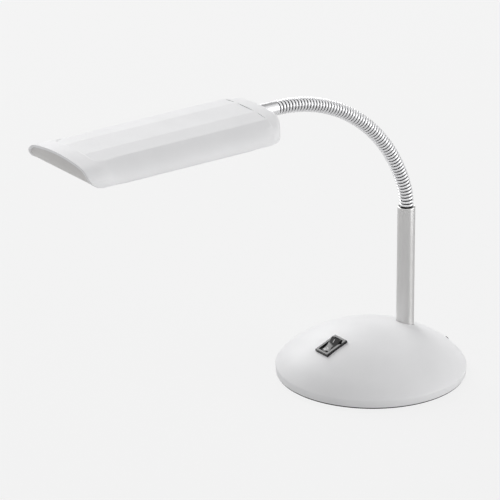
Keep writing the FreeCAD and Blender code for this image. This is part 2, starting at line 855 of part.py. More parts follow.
def switch_housing():
    top = bezel_top()
    bezel = block(-bezel_width / 2, bezel_width / 2, -bezel_length / 2, bezel_length / 2,
                  -switch_seat_depth, top)
    upper = [e for e in bezel.Edges if abs(e.BoundBox.ZMin - top) < 1e-6]
    bezel = bezel.makeFillet(0.4, upper)
    floor = -switch_seat_depth - switch_body_depth
    body = block(-switch_body_width / 2, switch_body_width / 2,
                 -switch_body_length / 2, switch_body_length / 2, floor, -switch_seat_depth)
    half_length = rocker_end_radius + rocker_gap
    cavity = block(-switch_cavity_half_width, switch_cavity_half_width, -half_length, half_length,
                   top - switch_cavity_depth, top + 1)
    pin_half = switch_cavity_half_width + rocker_pin_reach
    pivots = rod_x(rocker_pin_radius + rocker_pin_gap, 0, rocker_pivot_z(), -pin_half, pin_half)
    slots = [blade_block(side, switch_hole_gap / 2, floor - 1, floor + 2) for side in (-1, 1)]
    return joined([bezel, body]).cut([cavity, pivots] + slots)


def blade_block(side, gap, z0, z1):
    y = side * blade_spacing / 2
    half_width = blade_width / 2 + gap
    half_thickness = blade_thickness / 2 + gap
    return block(-half_width, half_width, y - half_thickness, y + half_thickness, z0, z1)


def switch_blades():
    floor = -switch_seat_depth - switch_body_depth
    return Part.makeCompound([blade_block(side, 0, floor - blade_length, floor + 1.9) for side in (-1, 1)])


def switch_rocker():
    """Rocker with two halves that rise from a valley over the pivot, its off end pressed down."""
    pivot = rocker_pivot_z()
    rise = math.tan(math.radians(rocker_half_angle))
    radius = rocker_end_radius
    half_width = switch_cavity_half_width - rocker_gap / 2

    def end_corner(side):
        """Where the sloping top meets the round end."""
        b = rocker_valley * rise
        a = 1 + rise * rise
        y = (-b + math.sqrt(b * b - a * (rocker_valley ** 2 - radius ** 2))) / a
        return vec(-half_width, side * y, rocker_valley + rise * y)

    low_y = math.sqrt(radius ** 2 - rocker_underside ** 2)
    valley = vec(-half_width, 0, rocker_valley)
    front_top, rear_top = end_corner(-1), end_corner(1)
    front_low = vec(-half_width, -low_y, rocker_underside)
    rear_low = vec(-half_width, low_y, rocker_underside)
    edges = [
        Part.LineSegment(front_low, rear_low).toShape(),
        Part.Arc(rear_low, vec(-half_width, radius, 0), rear_top).toShape(),
        Part.LineSegment(rear_top, valley).toShape(),
        Part.LineSegment(valley, front_top).toShape(),
        Part.Arc(front_top, vec(-half_width, -radius, 0), front_low).toShape(),
    ]
    body = Part.Face(Part.Wire(edges)).extrude(vec(2 * half_width, 0, 0))
    pin_half = switch_cavity_half_width + rocker_pin_reach - 0.1
    rocker = joined([body, rod_x(rocker_pin_radius, 0, 0, -pin_half, pin_half)])
    rocker.rotate(vec(0, 0, 0), vec(1, 0, 0), rocker_half_angle)
    rocker.translate(vec(0, 0, pivot))
    return rocker


# Driver board and terminal block

def standoff_places():
    return [(sx * standoff_x, sy * standoff_y) for sx in (-1, 1) for sy in (-1, 1)]


def driver_board():
    board = block(-board_length / 2, board_length / 2, -board_width / 2, board_width / 2,
                  board_bottom, board_top)
    holes = [rod(board_screw_radius + screw_pass_gap, x, y, 0, dome_height) for x, y in standoff_places()]
    return board.cut(holes)


def board_standoffs():
    bores = [rod(board_screw_radius + screw_hole_gap, x, y, weight_top, dome_height)
             for x, y in standoff_places()]
    posts = [rod(standoff_radius, x, y, weight_top, board_bottom) for x, y in standoff_places()]
    return Part.makeCompound([post.cut(bore) for post, bore in zip(posts, bores)])


def board_screws():
    screws = []
    for x, y in standoff_places():
        shank = rod(board_screw_radius, x, y, board_top - board_screw_length, board_top)
        head = rod(board_screw_head_radius, x, y, board_top, board_top + board_screw_head_height)
        slot = block(x - 3, x + 3, y - 0.3, y + 0.3, board_top + board_screw_head_height - 0.7, board_top + 5)
        screws.append(joined([shank, head]).cut(slot))
    return Part.makeCompound(screws)


def on_board(size, x, y):
    length, width, height = size
    return block(x - length / 2, x + length / 2, y - width / 2, y + width / 2, board_top, board_top + height)


def driver_transformer():
    core = on_board(transformer_size, transformer_x, 0)
    winding = (transformer_size[0] - 5, transformer_size[1] + 3, transformer_size[2] - 3)
    return joined([core, on_board(winding, transformer_x, 0)])


def driver_capacitors():
    places = [(capacitor_x, -capacitor_y), (capacitor_x, capacitor_y)]
    return Part.makeCompound([rod(capacitor_radius, x, y, board_top, board_top + capacitor_height)
                              for x, y in places])


def driver_sockets():
    low = on_board(output_socket_size, output_socket_x, 0)
    mains = on_board(input_socket_size, input_socket_x, 0)
    return Part.makeCompound([low, mains])


def terminal_block():
    half = terminal_size[0] / 2
    front = terminal_rear - terminal_size[1]
    body = block(-half, half, front, terminal_rear, plate_top, plate_top + terminal_size[2])
    wells = [rod(terminal_screw_radius + 0.2, side * terminal_port_x, terminal_rear - terminal_size[1] / 2,
                 plate_top + terminal_size[2] - terminal_screw_depth, dome_height) for side in (-1, 1)]
    return body.cut(wells)


def terminal_screws():
    top = plate_top + terminal_size[2]
    y = terminal_rear - terminal_size[1] / 2
    screws = []
    for side in (-1, 1):
        x = side * terminal_port_x
        screw = rod(terminal_screw_radius, x, y, top - terminal_screw_depth, top - 0.4)
        screws.append(screw.cut(block(x - 3, x + 3, y - 0.3, y + 0.3, top - 1.2, top)))
    return Part.makeCompound(screws)


# Inner leads of the base

def blade_edge(side, across):
    """Middle of a switch blade's narrow edge near its tip, in the lamp's axes."""
    floor = -switch_seat_depth - switch_body_depth
    edge = Part.Vertex(vec(across * blade_width / 2, side * blade_spacing / 2, floor - blade_length + 2))
    return switch_place(edge).Point


def lead_level():
    return weight_top + lead_over_weight


def port_place(side):
    return side * terminal_port_x, terminal_rear - terminal_size[1], lead_level()


def lead_live_in():
    x, y, z = port_place(1)
    tip = blade_edge(1, 1)
    points = [(x, y, z), (x, y - 4.5, z), (x + 7, y - 12, z), (x + 8.5, 20, z), (x + 8, 4, z),
              (x + 8, -10, z), (x + 6, -21, z + 0.8), (x + 2.4, tip.y, tip.z), (tip.x, tip.y, tip.z)]
    return lead(points, mains_lead_radius, "lead_live_in")


def mains_socket_face(side):
    return input_socket_x, side * input_socket_size[1] / 2, board_top + input_socket_size[2] / 2


def lead_live_out():
    x, y, z = mains_socket_face(-1)
    tip = blade_edge(-1, -1)
    points = [(tip.x, tip.y, tip.z), (tip.x - 8, tip.y, tip.z), (x + 3, y - 22, z - 3.5),
              (x, y - 12, z), (x, y, z)]
    return lead(points, mains_lead_radius, "lead_live_out")


def lead_neutral():
    port_x, port_y, port_z = port_place(-1)
    x, y, z = mains_socket_face(1)
    points = [(port_x, port_y, port_z), (port_x, port_y - 4.5, port_z), (port_x - 8, port_y - 12, port_z + 2),
              (x + 2, y + 20, z - 2), (x, y + 10, z), (x, y, z)]
    return lead(points, mains_lead_radius, "lead_neutral")


def lead_low_voltage():
    x = output_socket_x
    y = output_socket_size[1] / 2
    z = board_top + output_socket_size[2] / 2
    end = neck_point(0)[0]
    window = pole_window_height
    points = [(x, y, z), (x, y + 7.5, z), (x - 8, y + 15.5, z + 2), (3, pole_y - 12.3, window - 0.6),
              (0.4, pole_y - 1.6, window + 1.6), (0, pole_y, window + 14), (0.9, pole_y + 0.7, window + 37),
              (-0.6, pole_y - 0.8, end.z - 44), (0, pole_y, end.z - 20), (end.x, end.y, end.z)]
    return lead(points, neck_lead_radius, "lead_low_voltage")


def main():
    os.makedirs("parts", exist_ok=True)
    save(base_shell(), "base_shell")
    save(base_plate(), "base_plate")
    save(base_weight(), "base_weight")
    save(foot_pad(), "foot_pad")
    save(base_screws(), "base_screws")
    save(cord_gland(), "cord_gland")
    save(pole(), "pole")
    save(pole_nipple(), "pole_nipple")
    save(pole_washer(), "pole_washer")
    save(pole_nut(), "pole_nut")
    save(neck_bush(), "neck_bush")
    for number in range(neck_link_count):
        save(neck_link(number), "neck_link_%02d" % (number + 1))
    save(neck_lead(), "neck_lead")
    save(head_place(neck_sleeve()), "neck_sleeve")
    save(head_place(head_washer()), "head_washer")
    save(head_place(head_nut()), "head_nut")
    save(head_place(shade_shell()), "shade_shell")
    save(head_place(lamp_tray()), "lamp_tray")
    save(head_place(diffuser()), "diffuser")
    save(head_place(tray_screws()), "tray_screws")
    save(head_place(led_board()), "led_board")
    save(head_place(led_screws()), "led_screws")
    save(head_place(led_chips()), "led_chips")
    save(head_place(led_connector()), "led_connector")
    save(head_place(head_lead()), "head_lead")
    save(switch_place(switch_housing()), "switch_housing")
    save(switch_place(switch_rocker()), "switch_rocker")
    save(switch_place(switch_blades()), "switch_blades")
    save(driver_board(), "driver_board")
    save(board_standoffs(), "board_standoffs")
    save(board_screws(), "board_screws")
    save(driver_transformer(), "driver_transformer")
    save(driver_capacitors(), "driver_capacitors")
    save(driver_sockets(), "driver_sockets")
    save(terminal_block(), "terminal_block")
    save(terminal_screws(), "terminal_screws")
    save(lead_live_in(), "lead_live_in")
    save(lead_live_out(), "lead_live_out")
    save(lead_neutral(), "lead_neutral")
    save(lead_low_voltage(), "lead_low_voltage")


main()
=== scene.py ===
import math

import bmesh
import bpy
from mathutils import Matrix, Vector


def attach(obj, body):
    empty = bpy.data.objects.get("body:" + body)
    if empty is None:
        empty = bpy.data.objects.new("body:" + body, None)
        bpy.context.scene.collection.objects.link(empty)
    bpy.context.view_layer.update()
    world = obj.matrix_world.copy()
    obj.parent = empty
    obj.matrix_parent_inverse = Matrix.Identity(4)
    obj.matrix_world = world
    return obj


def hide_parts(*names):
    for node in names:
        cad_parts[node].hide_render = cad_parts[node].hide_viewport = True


bl_info = {
    "name": "Gooseneck desk lamp",
    "version": (1, 0, 0),
    "blender": (4, 5, 0),
    "location": "View3D > Sidebar > Lamp",
    "description": "Builds the visible pieces and finishes of a gooseneck desk lamp on its CAD frame",
    "category": "Add Mesh",
}

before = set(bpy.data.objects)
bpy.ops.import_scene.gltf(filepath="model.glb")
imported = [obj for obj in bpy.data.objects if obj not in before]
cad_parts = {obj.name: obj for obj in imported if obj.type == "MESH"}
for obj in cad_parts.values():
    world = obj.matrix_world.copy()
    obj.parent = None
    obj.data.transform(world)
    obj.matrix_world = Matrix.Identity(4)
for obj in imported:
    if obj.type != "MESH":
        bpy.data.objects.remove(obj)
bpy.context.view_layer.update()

# Lengths are millimetres until a piece is finished, then metres. The user's sizes, the relief of the finishes,
# and the stage's lamps and camera are in metres from the start.
MM = 0.001


# ---- Sizes and colours that a user may change

def length(name, description, default, low):
    """Property for a length in metres."""
    return bpy.props.FloatProperty(name=name, description=description, default=default, min=low, unit="LENGTH")


def tint(name, description, default):
    """Property for a colour."""
    return bpy.props.FloatVectorProperty(
        name=name, description=description, default=default, subtype="COLOR", size=3, min=0.0, max=1.0)


class LampSizes(bpy.types.PropertyGroup):
    """Sizes of the lamp's visible details"""
    skirt_edge: length("Skirt edge", "Rounding of the base's rim", 0.0007, 0.0001)
    shell_wall: length("Shell wall", "Thickness of the base shell", 0.0024, 0.001)
    head_wall: length("Head wall", "Thickness of the head's skin", 0.002, 0.001)
    head_lip: length("Head lip", "Rounding of the rim of the head", 0.00095, 0.0001)
    ring_width: length("Ring width", "Width of one ring of the gooseneck", 0.00198, 0.001)
    ring_rise: length("Ring rise", "How far a ring stands over its groove", 0.00105, 0.0002)
    switch_edge: length("Switch edge", "Rounding of the switch bezel", 0.0005, 0.0001)
    rear_roll: length("Rear roll", "Rounding over the rear end of the head", 0.0032, 0.001)


class LampColours(bpy.types.PropertyGroup):
    """Colours of the lamp's finishes"""
    shell: tint("Shell", "Moulded shells of base and head", (0.88, 0.88, 0.89))
    tray: tint("Tray", "Lower tray of the head", (0.72, 0.71, 0.70))
    rubber: tint("Rubber", "Foot pad", (0.018, 0.018, 0.019))
    satin: tint("Satin metal", "Pole", (0.69, 0.685, 0.68))
    bright: tint("Bright metal", "Rings of the gooseneck", (0.90, 0.90, 0.91))
    switch: tint("Switch", "Switch bezel and rocker", (0.010, 0.010, 0.011))
    marks: tint("Switch marks", "Marks on the rocker", (0.78, 0.78, 0.78))
    floor: tint("Floor", "Floor and surroundings", (0.922, 0.922, 0.922))


# ---- Materials

# Nearly all values of the noise lie between these two.
NOISE_LOW = 0.3
NOISE_HIGH = 0.7
SHELL_SPECULAR = 0.36


def set_sockets(node, values):
    """Sets the node's input sockets by their names."""
    for name, value in values.items():
        node.inputs[name].default_value = value


class Finish:
    """A material under construction: its nodes, its shader and its place on the piece."""

    def __init__(self, name, colour, roughness, metallic=0.0):
        self.material = bpy.data.materials.new(name)
        self.material.use_nodes = True
        self.nodes = self.material.node_tree.nodes
        self.links = self.material.node_tree.links
        self.shader = self.nodes["Principled BSDF"]
        set_sockets(self.shader, {"Base Color": (*colour, 1.0), "Roughness": roughness, "Metallic": metallic})
        self.colour = colour
        self.roughness = roughness
        self.place = self.nodes.new("ShaderNodeTexCoord").outputs["Object"]
        self.material.diffuse_color = (*colour, 1.0)

    def noise(self, scale, detail=3.0, stretch=(1.0, 1.0, 1.0)):
        """Noise on the piece's own coordinates; a small stretch along an axis draws it out into lines."""
        mapping = self.nodes.new("ShaderNodeMapping")
        set_sockets(mapping, {"Scale": stretch})
        texture = self.nodes.new("ShaderNodeTexNoise")
        set_sockets(texture, {"Scale": scale, "Detail": detail})
        self.links.new(self.place, mapping.inputs["Vector"])
        self.links.new(mapping.outputs["Vector"], texture.inputs["Vector"])
        return texture.outputs["Fac"]

    def ranged(self, value, low, high):
        """Noise spread over the range from low to high."""
        node = self.nodes.new("ShaderNodeMapRange")
        set_sockets(node, {"From Min": NOISE_LOW, "From Max": NOISE_HIGH, "To Min": low, "To Max": high})
        self.links.new(value, node.inputs["Value"])
        return node.outputs["Result"]

    def mottle(self, value, darker):
        """Colour that drifts a little darker where value is high."""
        mix = self.nodes.new("ShaderNodeMix")
        mix.data_type = "RGBA"
        mix.inputs["A"].default_value = (*self.colour, 1.0)
        mix.inputs["B"].default_value = (*[c * darker for c in self.colour], 1.0)
        self.links.new(self.ranged(value, 0.0, 1.0), mix.inputs["Factor"])
        self.links.new(mix.outputs["Result"], self.shader.inputs["Base Color"])

    def rough_drift(self, value, spread):
        """Roughness that drifts by the spread to either side."""
        result = self.ranged(value, self.roughness - spread, self.roughness + spread)
        self.links.new(result, self.shader.inputs["Roughness"])

    def bump(self, value, depth):
        """Relief of the given depth in metres."""
        node = self.nodes.new("ShaderNodeBump")
        set_sockets(node, {"Strength": 1.0, "Distance": depth})
        self.links.new(value, node.inputs["Height"])
        self.links.new(node.outputs["Normal"], self.shader.inputs["Normal"])


def moulded(name, colour, roughness, grain=0.000012, darker=0.97):
    """Moulded plastic with a fine eroded grain."""
    finish = Finish(name, colour, roughness)
    finish.mottle(finish.noise(38.0), darker)
    finish.rough_drift(finish.noise(120.0), 0.05)
    finish.bump(finish.noise(2600.0, 2.0), grain)
    set_sockets(finish.shader, {"Specular IOR Level": SHELL_SPECULAR})
    return finish.material


def gloss_plastic(name, colour):
    """Hard polished plastic with a few dull patches from handling."""
    finish = Finish(name, colour, 0.13)
    finish.mottle(finish.noise(90.0), 0.8)
    finish.rough_drift(finish.noise(350.0), 0.04)
    finish.bump(finish.noise(1800.0, 2.0), 0.000001)
    set_sockets(finish.shader, {"Specular IOR Level": 0.5})
    return finish.material


def rubber(name, colour):
    """Dull rubber with a coarse skin."""
    finish = Finish(name, colour, 0.72)
    finish.mottle(finish.noise(60.0), 1.5)
    finish.rough_drift(finish.noise(300.0), 0.08)
    finish.bump(finish.noise(1500.0, 3.0), 0.00005)
    return finish.material


def satin_metal(name, colour, roughness, stretch, darker=0.9):
    """Metal with fine polishing lines along one axis."""
    finish = Finish(name, colour, roughness, 1.0)
    lines = finish.noise(700.0, 2.0, stretch)
    finish.mottle(finish.noise(30.0), darker)
    finish.rough_drift(lines, 0.04)
    finish.bump(lines, 0.000002)
    return finish.material


def brushed_tube(name, colour, roughness):
    """Satin tube, polished round and round, so that its highlights stretch along it."""
    finish = Finish(name, colour, roughness, 1.0)
    lines = finish.noise(900.0, 2.0, (0.12, 0.12, 1.0))
    finish.mottle(finish.noise(25.0, 2.0), 0.95)
    finish.rough_drift(lines, 0.03)
    finish.bump(lines, 0.0000008)
    set_sockets(finish.shader, {"Anisotropic": 0.75, "Anisotropic Rotation": 0.25})
    tangent = finish.nodes.new("ShaderNodeTangent")
    tangent.direction_type = "RADIAL"
    tangent.axis = "Z"
    finish.links.new(tangent.outputs["Tangent"], finish.shader.inputs["Tangent"])
    return finish.material


def cast_metal(name, colour, roughness):
    """Metal with a sandy cast surface."""
    finish = Finish(name, colour, roughness, 1.0)
    finish.mottle(finish.noise(80.0), 0.8)
    finish.rough_drift(finish.noise(500.0), 0.1)
    finish.bump(finish.noise(900.0, 4.0), 0.00004)
    return finish.material


def frosted_window(name):
    """Milky plastic that lets light in a little way."""
    finish = Finish(name, (0.86, 0.86, 0.85), 0.4)
    set_sockets(finish.shader, {"Subsurface Weight": 0.3, "Subsurface Radius": (0.004, 0.004, 0.004)})
    finish.rough_drift(finish.noise(150.0), 0.06)
    finish.bump(finish.noise(2200.0, 2.0), 0.00002)
    return finish.material


def circuit_board(name, colour):
    """Lacquered board with faint tracks under the lacquer."""
    finish = Finish(name, colour, 0.35)
    tracks = finish.nodes.new("ShaderNodeTexBrick")
    darker = [c * 0.8 for c in colour]
    lighter = [min(1.0, c * 1.7 + 0.02) for c in colour]
    set_sockets(tracks, {"Scale": 180.0, "Mortar Size": 0.012, "Color1": (*colour, 1.0),
                         "Color2": (*darker, 1.0), "Mortar": (*lighter, 1.0)})
    finish.links.new(finish.place, tracks.inputs["Vector"])
    finish.links.new(tracks.outputs["Color"], finish.shader.inputs["Base Color"])
    finish.bump(finish.noise(700.0), 0.00001)
    return finish.material


def make_finishes(colours):
    """All the lamp's materials by the record's slot names."""
    return {
        "white_shell": moulded("shell_plastic", colours.shell, 0.44),
        "tray_white": moulded("tray_plastic", colours.tray, 0.46),
        "foot_black": rubber("foot_rubber", colours.rubber),
        "plate_steel": satin_metal("plate_steel_zinc", (0.56, 0.57, 0.58), 0.38, (1.0, 0.04, 1.0)),
        "ballast": cast_metal("ballast_iron", (0.16, 0.16, 0.165), 0.6),
        "steel": satin_metal("fastener_steel", (0.62, 0.62, 0.62), 0.3, (1.0, 1.0, 0.2)),
        "pole_metal": brushed_tube("pole_satin", colours.satin, 0.33),
        "neck_metal": satin_metal("ring_bright", colours.bright, 0.3, (0.3, 1.0, 1.0), 0.97),
        "brass": satin_metal("turned_brass", (0.68, 0.5, 0.2), 0.3, (1.0, 1.0, 0.2)),
        "switch_black": gloss_plastic("switch_plastic", colours.switch),
        "gland_black": moulded("gland_plastic", (0.03, 0.03, 0.032), 0.5, 0.00002, 0.8),
        "diffuser_white": frosted_window("diffuser_frosted"),
        "board_metal": circuit_board("led_board_lacquer", (0.78, 0.79, 0.78)),
        "led_yellow": moulded("led_phosphor", (0.83, 0.68, 0.18), 0.35, 0.00001, 0.9),
        "connector_white": moulded("connector_plastic", (0.72, 0.70, 0.64), 0.5),
        "board_green": circuit_board("driver_board_lacquer", (0.02, 0.14, 0.05)),
        "transformer": moulded("transformer_tape", (0.75, 0.62, 0.08), 0.45, 0.00002, 0.85),
        "capacitor": moulded("capacitor_sleeve", (0.02, 0.03, 0.07), 0.35, 0.00001, 0.8),
        "lead_grey": moulded("lead_grey_sheath", (0.2, 0.2, 0.21), 0.5),
        "lead_brown": moulded("lead_brown_sheath", (0.13, 0.05, 0.02), 0.5),
        "lead_blue": moulded("lead_blue_sheath", (0.02, 0.07, 0.35), 0.5),
    }


def finish_named(name):
    """A material that the finishes' operator has made."""
    material = bpy.data.materials.get(name)
    if material is None:
        raise RuntimeError("the finish " + name + " isn't made yet")
    return material


# ---- Making pieces

SHARP_ANGLE = 35.0


def smooth_by_angle(mesh, degrees):
    """Shades the mesh smooth, apart from edges that turn more than the angle."""
    mesh.shade_smooth()
    mesh.set_sharp_from_angle(angle=math.radians(degrees))


def mesh_from(bm, name):
    """Mesh of a bmesh, which is freed."""
    mesh = bpy.data.meshes.new(name)
    bm.to_mesh(mesh)
    bm.free()
    return mesh


def object_from(data, name):
    """Object of a mesh, a light or a camera, put in the scene."""
    made = bpy.data.objects.new(name, data)
    bpy.context.scene.collection.objects.link(made)
    return made


def piece_from(bm, name, material, place=None, sharp=SHARP_ANGLE):
    """Finished object from a bmesh in millimetres, set in place and scaled to metres."""
    bmesh.ops.transform(bm, matrix=Matrix.Scale(MM, 4) @ (place or Matrix.Identity(4)), verts=bm.verts)
    mesh = mesh_from(bm, name)
    smooth_by_angle(mesh, sharp)
    mesh.materials.append(material)
    return object_from(mesh, name)


def settle(piece, body, slot, *nodes):
    """The piece rides on its body and stands for the CAD nodes, which are hidden; the slot is not used."""
    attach(piece, body)
    if nodes:
        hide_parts(*nodes)


def spun(outline, steps, closed=True):
    """Outline of (radius, height) pairs turned a full circle about Z; closed joins its two ends first."""
    bm = bmesh.new()
    verts = [bm.verts.new((r, 0.0, z)) for r, z in outline]
    pairs = list(zip(verts, verts[1:])) + ([(verts[-1], verts[0])] if closed else [])
    edges = [bm.edges.new(pair) for pair in pairs]
    bmesh.ops.spin(bm, geom=verts + edges, cent=(0, 0, 0), axis=(0, 0, 1), dvec=(0, 0, 0), angle=math.tau,
                   steps=steps, use_merge=True, use_duplicate=False)
    bmesh.ops.remove_doubles(bm, verts=bm.verts, dist=0.001)
    bmesh.ops.recalc_face_normals(bm, faces=bm.faces)
    return bm


def join_bmesh(target, source, place):
    """Adds a transformed source to target and frees the source."""
    bmesh.ops.transform(source, matrix=place, verts=source.verts)
    carrier = mesh_from(source, "carrier")
    target.from_mesh(carrier)
    bpy.data.meshes.remove(carrier)


def bake(piece):
    """Applies the piece's modifiers to its mesh."""
    graph = bpy.context.evaluated_depsgraph_get()
    baked = bpy.data.meshes.new_from_object(piece.evaluated_get(graph))
    old = piece.data
    piece.modifiers.clear()
    piece.data = baked
    baked.name = piece.name
    bpy.data.meshes.remove(old)


def cut_out(piece, cutters):
    """Cuts the cutters, given as separate bmeshes in metres, out of the piece."""
    every = bmesh.new()
    for bm in cutters:
        join_bmesh(every, bm, Matrix.Identity(4))
    mesh = mesh_from(every, "cutter")
    cutter = object_from(mesh, "cutter")
    holes = piece.modifiers.new("holes", "BOOLEAN")
    holes.operation = "DIFFERENCE"
    holes.solver = "EXACT"
    holes.use_self = True
    holes.object = cutter
    bake(piece)
    bpy.data.objects.remove(cutter)
    bpy.data.meshes.remove(mesh)
    smooth_by_angle(piece.data, SHARP_ANGLE)


def rod_bmesh(radius, low, high, place, segments=64):
    """Round rod along Z in metres, for cutting."""
    bm = bmesh.new()
    bmesh.ops.create_cone(bm, cap_ends=True, segments=segments, radius1=radius, radius2=radius,
                          depth=high - low)
    bmesh.ops.translate(bm, vec=(0, 0, (low + high) / 2), verts=bm.verts)
    bmesh.ops.transform(bm, matrix=Matrix.Scale(MM, 4) @ place, verts=bm.verts)
    return bm


def block_bmesh(size, centre, place):
    """Block in metres, for cutting."""
    bm = bmesh.new()
    bmesh.ops.create_cube(bm, size=1.0)
    bmesh.ops.scale(bm, vec=size, verts=bm.verts)
    bmesh.ops.translate(bm, vec=centre, verts=bm.verts)
    bmesh.ops.transform(bm, matrix=Matrix.Scale(MM, 4) @ place, verts=bm.verts)
    return bm


def round_edges(bm, edges, width, segments, clamp=False):
    """Rounds the edges to the given width."""
    bmesh.ops.bevel(bm, geom=edges, offset=width, offset_type="OFFSET", segments=segments, profile=0.5,
                    affect="EDGES", material=-1, clamp_overlap=clamp)


def verts_of(made):
    """The vertices among what an operator has made."""
    return [v for v in made["geom"] if isinstance(v, bmesh.types.BMVert)]


def merged_copy(node, name, material, edge):
    """Copy of a CAD solid in metres, with its flat faces merged and its edges rounded."""
    bm = bmesh.new()
    bm.from_mesh(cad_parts[node].data)
    bmesh.ops.remove_doubles(bm, verts=bm.verts, dist=0.000002)
    bmesh.ops.dissolve_limit(bm, angle_limit=math.radians(1.0), verts=bm.verts, edges=bm.edges)
    mesh = mesh_from(bm, name)
    smooth_by_angle(mesh, 30.0)
    mesh.materials.append(material)
    piece = object_from(mesh, name)
    edges = piece.modifiers.new("edges", "BEVEL")
    edges.width = edge
    edges.segments = 3
    edges.limit_method = "ANGLE"
    edges.angle_limit = math.radians(40.0)
    return piece


def smoothstep(value):
    """Eases from 0 to 1; values outside are held at the ends."""
    value = min(max(value, 0.0), 1.0)
    return value * value * (3.0 - 2.0 * value)


def mixed(a, b, share):
    """From a at share 0 to b at share 1."""
    return a + (b - a) * share


# ---- Base

BASE_RADIUS = 75.0
SKIRT_RADIUS = 74.5
SKIRT_BOTTOM = 1.2
RIM_HEIGHT = 6.9
DOME_HEIGHT = 38.4
CROWN_RADIUS = 112.0
SHOULDER_START = 62.0
CROWN_STEPS = 16
SHOULDER_STEPS = 10
POLE_Y = 33.8
POLE_HOLE_RADIUS = 7.2
SWITCH_Y = -39.4
SWITCH_SEAT = (15.3, 21.3, 12.0)
SWITCH_SEAT_MIDDLE = 3.0
GLAND_HOLE_RADIUS = 4.1
GLAND_HEIGHT = 5.5
FOOT_OUTLINE = [(0, 0.45), (66.5, 0.45), (66.9, 0.0), (73.6, 0.0), (73.9, 0.2), (73.95, 0.6), (73.95, 1.1),
                (71.8, 1.15), (71.8, 2.0), (0, 2.0)]
FOOT_SCREW_PLACE = 38.89
FOOT_HOLE_RADIUS = 3.3


def dome_height(r):
    """Height of the dome's crown at a radius."""
    return DOME_HEIGHT - CROWN_RADIUS + math.sqrt(CROWN_RADIUS ** 2 - r ** 2)


def dome_outline():
    """Outer half outline of the base from the crown to the foot of the skirt."""
    crown = [SHOULDER_START * i / CROWN_STEPS for i in range(CROWN_STEPS + 1)]
    points = [(r, dome_height(r)) for r in crown]
    start_angle = math.asin(SHOULDER_START / CROWN_RADIUS)
    fall = dome_height(SHOULDER_START) - RIM_HEIGHT
    reach = BASE_RADIUS - SHOULDER_START
    bend = math.atan2(fall, reach) - start_angle
    radius = math.hypot(fall, reach) / (2 * math.sin(bend))
    centre_r = SHOULDER_START - radius * math.sin(start_angle)
    centre_z = dome_height(SHOULDER_START) - radius * math.cos(start_angle)
    end_angle = math.asin((BASE_RADIUS - centre_r) / radius)
    for i in range(1, SHOULDER_STEPS + 1):
        angle = mixed(start_angle, end_angle, i / SHOULDER_STEPS)
        points.append((centre_r + radius * math.sin(angle), centre_z + radius * math.cos(angle)))
    points.append((SKIRT_RADIUS, SKIRT_BOTTOM))
    return points


def switch_matrix():
    """From the switch's own axes, square to the dome, to the lamp's."""
    slope = math.asin(-SWITCH_Y / CROWN_RADIUS)
    return Matrix.Translation((0, SWITCH_Y, dome_height(SWITCH_Y))) @ Matrix.Rotation(slope, 4, "X")


def ring_edges(bm, radius, height, near=0.02):
    """The ring of edges at the given radius and height."""
    return [e for e in bm.edges if all(abs(math.hypot(v.co.x, v.co.y) - radius) < near
                                       and abs(v.co.z - height) < near for v in e.verts)]


class LAMP_OT_base(bpy.types.Operator):
    """Base shell and rubber foot"""
    bl_idname = "lamp.base"
    bl_label = "Base"

    def execute(self, context):
        sizes = context.scene.lamp_sizes
        bm = spun(dome_outline(), steps=160, closed=False)
        round_edges(bm, ring_edges(bm, BASE_RADIUS, RIM_HEIGHT), sizes.skirt_edge / MM, 4)
        dome = piece_from(bm, "base_dome", finish_named("shell_plastic"))
        wall = dome.modifiers.new("wall", "SOLIDIFY")
        wall.thickness = sizes.shell_wall
        wall.offset = -1.0
        bake(dome)
        pole_hole = rod_bmesh(POLE_HOLE_RADIUS, 20.0, 50.0, Matrix.Translation((0, POLE_Y, 0)))
        seat = block_bmesh(SWITCH_SEAT, (0, 0, SWITCH_SEAT_MIDDLE), switch_matrix())
        rearward = Matrix.Translation((0, 0, GLAND_HEIGHT)) @ Matrix.Rotation(-math.pi / 2, 4, "X")
        gland_hole = rod_bmesh(GLAND_HOLE_RADIUS, 60.0, 80.0, rearward)
        cut_out(dome, [pole_hole, seat, gland_hole])
        settle(dome, "base", "white_shell", "base_shell")

        pad = spun(FOOT_OUTLINE, steps=160, closed=False)
        foot = piece_from(pad, "rubber_foot", finish_named("foot_rubber"))
        screws = [Matrix.Translation((FOOT_SCREW_PLACE * a, FOOT_SCREW_PLACE * b, 0))
                  for a in (-1, 1) for b in (-1, 1)]
        cut_out(foot, [rod_bmesh(FOOT_HOLE_RADIUS, -1.0, 3.0, screw, 32) for screw in screws])
        settle(foot, "base", "foot_black", "foot_pad")
        return {"FINISHED"}


# ---- Pole

POLE_OUTLINE = [(7.0, 12.5), (7.0, 22.0), (7.0, 60.0), (7.0, 100.0), (7.0, 130.3), (6.95, 130.6), (6.8, 130.85),
                (6.5, 131.0), (6.1, 131.0), (5.95, 130.9), (5.9, 130.7), (5.9, 12.5)]
LEAD_HOLE_RADIUS = 3.2
LEAD_HOLE_HEIGHT = 25.0


class LAMP_OT_pole(bpy.types.Operator):
    """Upright pole of satin metal tube"""
    bl_idname = "lamp.pole"
    bl_label = "Pole"

    def execute(self, context):
        bm = spun(POLE_OUTLINE, steps=96)
        pole = piece_from(bm, "pole_tube", finish_named("pole_satin"), Matrix.Translation((0, POLE_Y, 0)))
        forward = Matrix.Translation((0, POLE_Y, LEAD_HOLE_HEIGHT)) @ Matrix.Rotation(math.pi / 2, 4, "X")
        cut_out(pole, [rod_bmesh(LEAD_HOLE_RADIUS, 0.0, 9.0, forward, 32)])
        settle(pole, "base", "pole_metal", "pole")
        return {"FINISHED"}


# ---- Gooseneck

